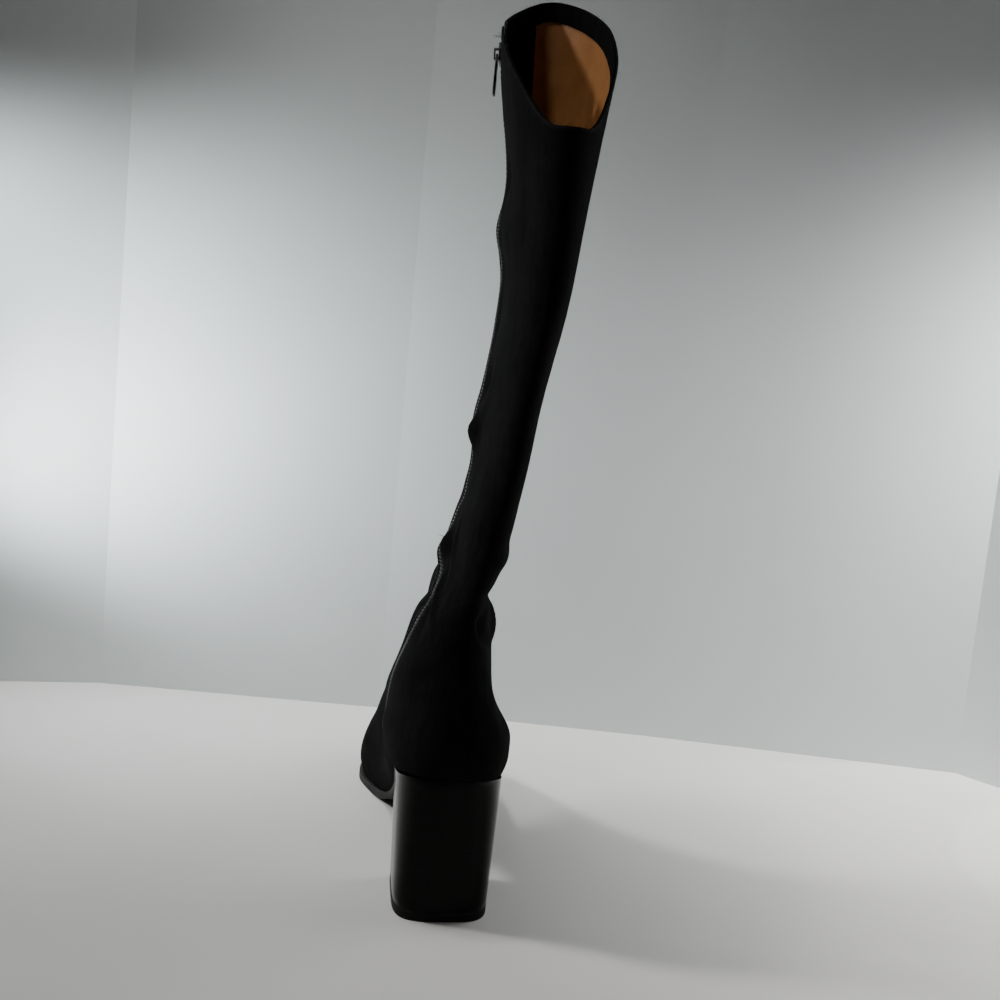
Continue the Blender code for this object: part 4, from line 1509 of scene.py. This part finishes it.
class Rail:
    """The zip's middle line, from the collar down, with the slit's width and directions."""

    def __init__(self, skin: Skin) -> None:
        """Reads the rail off the slit's two edges.

        Args:
            skin: The upper's skin.
        """
        rear, front = (np.array(line, float) for line in skin.slit_edges)
        self.middle = (rear + front) / 2.0
        gap = front - rear
        self.half = np.linalg.norm(gap, axis=1) / 2.0
        self.across = gap / (2.0 * self.half[:, None])
        down = np.gradient(self.middle, axis=0)
        normal = np.cross(self.across, down)
        self.outward = normal / np.linalg.norm(normal, axis=1)[:, None]
        sign = self.outward @ np.array(skin.nearest(Vector(self.middle[len(rear) // 2]))[1])
        if sign[len(rear) // 2] < 0.0:
            self.outward = -self.outward
        self.drops = np.concatenate([[0.0], np.cumsum(np.linalg.norm(np.diff(self.middle, axis=0), axis=1))])

    def read(self, values: Points, drop: float) -> Points | float:
        """A value of the rail at one height.

        Args:
            values: The value at each of the rail's points.
            drop: Distance below the collar.

        Returns:
            The value there.
        """
        if values.ndim == 1:
            return float(np.interp(drop, self.drops, values))
        return np.array([np.interp(drop, self.drops, values[:, axis]) for axis in range(3)])

    def place(self, drop: float, across: float, lift: float) -> Vector:
        """Point beside the middle line.

        Args:
            drop: Distance below the collar.
            across: Distance to the front.
            lift: Distance outwards.

        Returns:
            The point.
        """
        return Vector(self.read(self.middle, drop) + self.read(self.across, drop) * across
                      + self.read(self.outward, drop) * lift)

    def matrix(self, drop: float, across: float, lift: float) -> Matrix:
        """Matrix beside the middle line, Y up along it and Z outwards.

        Args:
            drop: Distance below the collar.
            across: Distance to the front.
            lift: Distance outwards.

        Returns:
            The matrix.
        """
        reach = 1.0 * MM
        up = self.place(drop - reach, across, lift) - self.place(drop + reach, across, lift)
        outward = Vector(self.read(self.outward, drop))
        return oriented(self.place(drop, across, lift), up.normalized(), outward)


@dataclass
class Zip:
    """The side zip: woven tapes, interlocked nylon coil, slider, pull and topstitching."""

    skin: Skin
    tape_drop: float = 1.2 * MM
    tape: float = 0.5 * MM
    tape_under: float = 1.72 * MM      # depth of the tape where it lies under the suede
    pitch: float = 2.1 * MM
    tooth_length: float = 3.3 * MM
    tooth_width: float = 0.95 * MM
    tooth_height: float = 1.15 * MM
    neck: float = 0.84                 # a tooth's width away from its head, a share of its full width
    bevel: float = 0.26                # its rounding, a share of its height, as are rise and sink
    head: float = 0.35                 # its head's length, a share of its own
    swell: float = 0.18                # how much wider the head is
    rise: float = 0.12
    sink: float = 0.10
    lap: float = 0.55 * MM             # how far each tooth reaches over the middle
    slider_low: float = 22.5 * MM      # distances below the collar where the halves part
    slider_high: float = 11.5 * MM
    parted: float = 1.7 * MM
    seam_in: float = 2.6 * MM
    seam_pitch: float = 3.1 * MM
    stitch: float = 2.3 * MM
    thread: float = 0.46 * MM
    coil_stitch: float = 1.7 * MM
    coil_thread: float = 0.3 * MM
    tail: float = 4.5 * MM             # how far above the slit's end the coil stops
    even: float = 60.0 * MM            # distance below the collar where the slit has its even width
    tape_gap: float = 0.12 * MM        # from the middle to each tape
    tape_ends: tuple[float, float] = (0.5 * MM, 3.2 * MM)    # how far under the suede its last rows lie
    tape_past: float = 2.0 * MM        # how far the tapes go on below the coil
    metal_round: float = 0.16 * MM
    metal_rub: float = 0.35 * MM

    def __post_init__(self) -> None:
        """Reads the rail."""
        self.rail = Rail(self.skin)
        self.end = self.rail.drops[-1] - self.tail

    def shift(self, drop: float) -> float:
        """How far each half stands off the middle, above the slider.

        Args:
            drop: Distance below the collar.

        Returns:
            The distance, nothing below the slider.
        """
        open_part = float(smooth_step((self.slider_low - drop) / (self.slider_low - self.slider_high)))
        spread = max(0.0, self.rail.read(self.rail.half, drop) - self.rail.read(self.rail.half, self.even))
        return open_part * (self.parted + spread)

    def dress(self, groups: Groups) -> None:
        """Builds and finishes the zip's pieces.

        Args:
            groups: Shared node groups.
        """
        tape = TapeFinish().build(groups)
        thread = YarnFinish("black_thread").build(groups)
        enamel = EnamelFinish().build(groups)
        self.build_tapes(tape)
        coil = YarnFinish("nylon_coil", low=(0.004, 0.004, 0.0042), high=(0.012, 0.012, 0.013),
                          roughness=0.38, twist=300.0).build(groups)
        new_piece("zip_coil", self.coil(), coil)
        new_piece("coil_stitching", self.coil_stitches(), thread)
        for name, line in zip(("topstitch_rear", "topstitch_front"), self.skin.slit_edges):
            new_piece(name, self.topstitch(line), thread)
        self.build_metal("slider", "zip_slider", BOOT, enamel)
        self.build_metal("pull_tab", "zip_pull", PULL, enamel)

    def build_tapes(self, material: bpy.types.Material) -> None:
        """The two tapes, which dip under the suede at their outer edges.

        Args:
            material: The woven finish.
        """
        for name, line, side in (("zip_tape_rear", self.skin.slit_edges[0], -1.0),
                                 ("zip_tape_front", self.skin.slit_edges[1], 1.0)):
            band = EdgeBand(self.skin, line)
            under = [band.row(distance, self.tape_under) for distance in self.tape_ends]
            rows = []
            for index, drop in enumerate(self.rail.drops):
                if drop > self.end + self.tape_past:
                    break
                inner = self.tape_gap + 0.8 * self.shift(drop)
                outer = self.rail.half[index] - 0.25 * MM
                at = (inner, inner + 0.5 * (outer - inner), outer)
                row = [self.rail.place(drop, side * across, -self.tape_drop) for across in at]
                rows.append([*row, Vector(under[0][index]), Vector(under[1][index])])
            builder = sheet(rows)
            face_outwards(builder, lambda place: self.skin.nearest(place)[1])
            stands_for = ["zip_chain"] if side > 0.0 else []
            new_piece(name, thickened(builder, self.tape), material, stands_for=stands_for)

    def tooth(self) -> bmesh.types.BMesh:
        """One turn of the coil: a rounded bar with a thicker head at its inner end.

        Returns:
            The turn, along X, with its inner end at the origin.
        """
        builder = bmesh.new()
        bmesh.ops.create_cube(builder, size=1.0)
        size = (self.tooth_length, self.tooth_width * self.neck, self.tooth_height)
        bmesh.ops.scale(builder, verts=builder.verts, vec=size)
        bmesh.ops.translate(builder, verts=builder.verts, vec=(self.tooth_length / 2.0, 0.0, 0.0))
        across = [edge for edge in builder.edges
                  if abs(edge.verts[0].co.x - edge.verts[1].co.x) > self.tooth_length / 2.0]
        bmesh.ops.subdivide_edges(builder, edges=across, cuts=2, use_grid_fill=True)
        bmesh.ops.bevel(builder, geom=[edge for edge in builder.edges if edge.calc_face_angle() > 1.0],
                        offset=self.bevel * self.tooth_height, offset_type="OFFSET", segments=1, profile=0.5,
                        affect="EDGES", material=-1)
        for vert in builder.verts:
            head = float(smooth_step(1.0 - vert.co.x / (self.head * self.tooth_length)))
            vert.co.y *= 1.0 + self.swell * head
            vert.co.z += self.tooth_height * (self.rise * head - self.sink * (1.0 - head))
        return builder

    def coil(self) -> bmesh.types.BMesh:
        """Both halves of the coil, interlocked below the slider.

        Returns:
            The joined turns.
        """
        lift = self.tooth_height / 2.0 - self.tape_drop + 0.02 * MM
        places = []
        count = int(self.end / (self.pitch / 2.0))
        for number in range(2, count):
            drop = number * self.pitch / 2.0
            side = 1.0 if number % 2 else -1.0
            place = self.rail.matrix(drop, side * (self.shift(drop) - self.lap), lift)
            front = Vector(self.rail.read(self.rail.across, drop)) * side
            if place.col[0].to_3d().dot(front) <= 0.0:
                place = place @ Matrix.Rotation(math.pi, 4, "Z")
            places.append(place)
        return scattered(self.tooth(), places)

    def coil_stitches(self) -> bmesh.types.BMesh:
        """The thread that sews the coil to its tapes.

        Returns:
            The joined stitches.
        """
        places = []
        for side in (-1.0, 1.0):
            for number in range(1, int(self.end / self.pitch)):
                drop = number * self.pitch
                across = side * (self.shift(drop) + self.tooth_length - self.lap - 0.35 * MM)
                places.append(self.rail.matrix(drop, across, -0.22 * MM))
        return scattered(stitch_shape(self.coil_stitch, self.coil_thread), places)

    def topstitch(self, line: Sequence[Vector]) -> bmesh.types.BMesh:
        """A row of stitches beside the slit.

        Args:
            line: The slit's edge.

        Returns:
            The joined stitches.
        """
        path = EdgeBand(self.skin, line).row(self.seam_in, 0.0)
        points, runs = along_path(path, self.seam_pitch, self.seam_pitch)
        places = [oriented(Vector(point), Vector(run), self.skin.nearest(Vector(point))[1])
                  for point, run in zip(points, runs)]
        return scattered(stitch_shape(self.stitch, self.thread), places)

    def build_metal(self, name: str, node: str, body: str, material: bpy.types.Material) -> None:
        """A metal piece in the frame's own shape, with its edges rounded.

        Args:
            name: Piece's name.
            node: Frame node that it copies and replaces.
            body: Body that it rides on.
            material: The enamel finish.
        """
        builder = merged_copy(node)
        bmesh.ops.dissolve_limit(builder, angle_limit=math.radians(2.0), verts=builder.verts,
                                 edges=builder.edges)
        built = new_piece(name, rounded(builder, self.metal_round, 35.0), material, body, 40.0,
                          [node])
        rub_sharp_edges(built, self.metal_rub, 18.0)


@dataclass
class Bottom:
    """What the upper stands on: sole, sock, block heel and top piece."""

    rim: float = 0.45 * MM
    worn: float = 1.0 * MM      # how far in from their rims the rubber pieces are scuffed

    def dress(self, groups: Groups) -> None:
        """Builds and finishes the pieces.

        Args:
            groups: Shared node groups.
        """
        sole = RubberFinish("sole_rubber").build(groups)
        top = RubberFinish("top_piece_rubber", roughness=0.6).build(groups)
        rub_sharp_edges(self.refined("sole", "outsole", sole), self.worn)
        self.refined("sock", "insole", LiningFinish("tan_sock", roughness=0.55).build(groups))
        self.refined("block_heel", "heel_block", GlossFinish().build(groups))
        rub_sharp_edges(self.refined("heel_top_piece_rubber", "heel_top_piece", top), self.worn)

    def refined(self, name: str, node: str, material: bpy.types.Material) -> bpy.types.Object:
        """A piece in the frame's own shape, its outline smoothed and its rims rounded.

        Args:
            name: Piece's name.
            node: Frame node that it copies and replaces.
            material: Its finish.

        Returns:
            The piece.
        """
        builder = rounded(smoothed(merged_copy(node), 2, 40.0), self.rim, 45.0)
        return new_piece(name, builder, material, sharp_degrees=35.0, stands_for=[node])


# ---------------------------------------------------------------------------------------------------------
# Studio

class Lamp(NamedTuple):
    """A soft square light."""

    name: str
    place: Triple
    target: Triple
    size: float
    watts: float
    colour: Colour
    spread: float = 180.0    # degrees


WARM = (1.0, 0.985, 0.96)
PALE = (1.0, 0.99, 0.97)
COOL = (0.93, 1.0, 1.0)
WHITE = (1.0, 1.0, 1.0)
LAMPS = (
    Lamp("key", (-2.34, 0.55, 2.05), (0.02, 0.20, 0.15), 0.30, 1.10, WARM, 30.0),
    Lamp("overhead", (-0.30, 0.05, 1.40), (-0.03, 0.18, 0.25), 0.12, 0.27, WARM, 42.0),
    # On the screen and the floor before it
    Lamp("wash_low", (-0.44, 0.20, 0.16), (-0.20, 0.345, 0.24), 0.10, 0.60, COOL, 80.0),
    Lamp("wash_high", (-0.48, 0.18, 0.46), (-0.24, 0.34, 0.26), 0.12, 0.50, COOL, 85.0),
    Lamp("wash_right", (0.62, -0.02, 0.45), (0.50, 0.22, 0.30), 0.20, 0.80, WHITE, 80.0),
    Lamp("floor_right", (0.70, 0.30, 0.70), (0.50, 0.05, 0.0), 0.30, 0.90, PALE, 50.0),
    # Weak fill from round about
    Lamp("right", (1.25, 0.26, 0.75), (0.0, 0.06, 0.28), 0.80, 6.0, PALE),
    Lamp("left", (-1.3, 0.90, 0.80), (0.0, 0.06, 0.25), 0.80, 2.0, WHITE),
    Lamp("front", (0.0, 1.6, 1.2), (0.0, 0.06, 0.20), 0.90, 1.5, WHITE),
)


@dataclass(frozen=True)
class Studio:
    """Camera, floor, folding pale screen and lights."""

    focal: float = 35.28
    sensor: float = 36.0
    place: Triple = (-0.06217, -0.51484, 0.27898)
    yaw: float = 8.29       # degrees, as are the next two
    pitch: float = 5.97     # downwards
    roll: float = 5.5
    screen: tuple[tuple[float, float], ...] = (
        (-0.62, 0.312), (-0.27, 0.351), (-0.03, 0.322), (0.20, 0.281), (0.456, 0.225), (0.53, 0.120))
    screen_height: float = 0.85
    screen_colour: Colour = (0.74, 0.78, 0.78)
    fold: float = 2.0       # degrees; sharper turns are folds of the card
    floor_drop: float = 0.02 * MM
    floor_size: float = 4.0
    floor_colour: Colour = (0.80, 0.79, 0.77)
    wall: Colour = (0.62, 0.64, 0.65)
    room_light: float = 0.03

    def set_up(self) -> None:
        """Builds the whole studio."""
        self.camera()
        self.floor()
        self.backdrop()
        self.lights()
        self.room()

    def camera(self) -> None:
        """Places the camera behind the boot, a little above the ankle."""
        yaw, pitch, roll = (math.radians(value) for value in (self.yaw, self.pitch, self.roll))
        look = Vector((math.sin(yaw) * math.cos(pitch), math.cos(yaw) * math.cos(pitch), -math.sin(pitch)))
        level = look.cross(Vector((0.0, 0.0, 1.0))).normalized()
        up = level.cross(look)
        right = level * math.cos(roll) + up * math.sin(roll)
        above = up * math.cos(roll) - level * math.sin(roll)
        data = bpy.data.cameras.new("camera")
        data.lens = self.focal
        data.sensor_width = self.sensor
        data.clip_start = 0.01
        built = bpy.data.objects.new("camera", data)
        turned = Matrix((right, above, -look)).transposed().to_4x4()
        built.matrix_world = Matrix.Translation(self.place) @ turned
        bpy.context.collection.objects.link(built)
        bpy.context.scene.camera = built

    def paper(self, name: str, colour: Colour, one_sided: bool) -> bpy.types.Material:
        """Matte pale card.

        Args:
            name: Material's name.
            colour: Its colour.
            one_sided: Whether it can be seen and lit through from behind.

        Returns:
            The material.
        """
        surface = Surface(name, 0.85)
        kit = surface.kit
        cloud = kit.between(kit.noise(surface.place, 9.0, 3.0), 0.3, 0.7)
        surface.feed(kit.colours(cloud, tuple(part * 0.965 for part in colour), colour), "Base Color")
        surface.bump(kit.noise(surface.place, 1400.0, 3.0), 0.12, 0.1 * MM)
        if one_sided:
            behind = kit.node("ShaderNodeNewGeometry").outputs["Backfacing"]
            shadow = kit.node("ShaderNodeLightPath").outputs["Is Shadow Ray"]
            through = kit.math("MAXIMUM", behind, shadow)
            clear = kit.node("ShaderNodeBsdfTransparent").outputs[0]
            output = surface.material.node_tree.nodes["Material Output"]
            kit.link(kit.shaders(through, surface.shader.outputs[0], clear), output.inputs["Surface"])
        return surface.material

    def floor(self) -> None:
        """The pale floor, just under the boot."""
        builder = bmesh.new()
        bmesh.ops.create_grid(builder, x_segments=1, y_segments=1, size=self.floor_size)
        bmesh.ops.translate(builder, verts=builder.verts, vec=(0.0, 0.0, -self.floor_drop))
        shown("floor", builder, self.paper("pale_floor", self.floor_colour, False), self.fold)

    def backdrop(self) -> None:
        """The folding screen behind, seen and lit through from its back."""
        base = [(x, y, 0.0) for x, y in self.screen]
        top = [(x, y, self.screen_height) for x, y in self.screen]
        builder = sheet([base, top])
        face_outwards(builder, lambda place: Vector((0.0, -1.0, 0.0)))
        shown("backdrop", builder, self.paper("pale_screen", self.screen_colour, True), self.fold)

    def lights(self) -> None:
        """A soft key from the upper left, a wash on the screen, and weak fill."""
        for lamp in LAMPS:
            self.hang(lamp)

    def hang(self, lamp: Lamp) -> None:
        """Hangs one lamp.

        Args:
            lamp: The lamp.
        """
        data = bpy.data.lights.new(lamp.name, "AREA")
        data.size = lamp.size
        data.spread = math.radians(lamp.spread)
        data.energy = lamp.watts
        data.color = lamp.colour
        built = bpy.data.objects.new(lamp.name, data)
        turn = (Vector(lamp.target) - Vector(lamp.place)).to_track_quat("-Z", "Y").to_matrix().to_4x4()
        built.matrix_world = Matrix.Translation(lamp.place) @ turn
        bpy.context.collection.objects.link(built)

    def room(self) -> None:
        """A dim room: what the camera sees past the stage is paler than the light that it gives."""
        world = bpy.data.worlds.new("room")
        world.use_nodes = True
        kit = NodeKit(world.node_tree)
        pale = kit.node("ShaderNodeBackground")
        pale.inputs["Color"].default_value = (*self.wall, 1.0)
        dim = world.node_tree.nodes["Background"]
        dim.inputs["Color"].default_value = (*WHITE, 1.0)
        dim.inputs["Strength"].default_value = self.room_light
        seen = kit.node("ShaderNodeLightPath").outputs["Is Camera Ray"]
        mixed = kit.shaders(seen, dim.outputs[0], pale.outputs[0])
        kit.link(mixed, world.node_tree.nodes["World Output"].inputs["Surface"])
        bpy.context.scene.world = world


def main() -> None:
    """Builds the boot and its studio."""
    logging.basicConfig(level=logging.INFO, format="%(name)s %(message)s")
    groups = Groups()
    skin = Skin()
    Upper(skin).dress(groups)
    Zip(skin).dress(groups)
    Bottom().dress(groups)
    Studio().set_up()


if __name__ == "__main__":
    main()
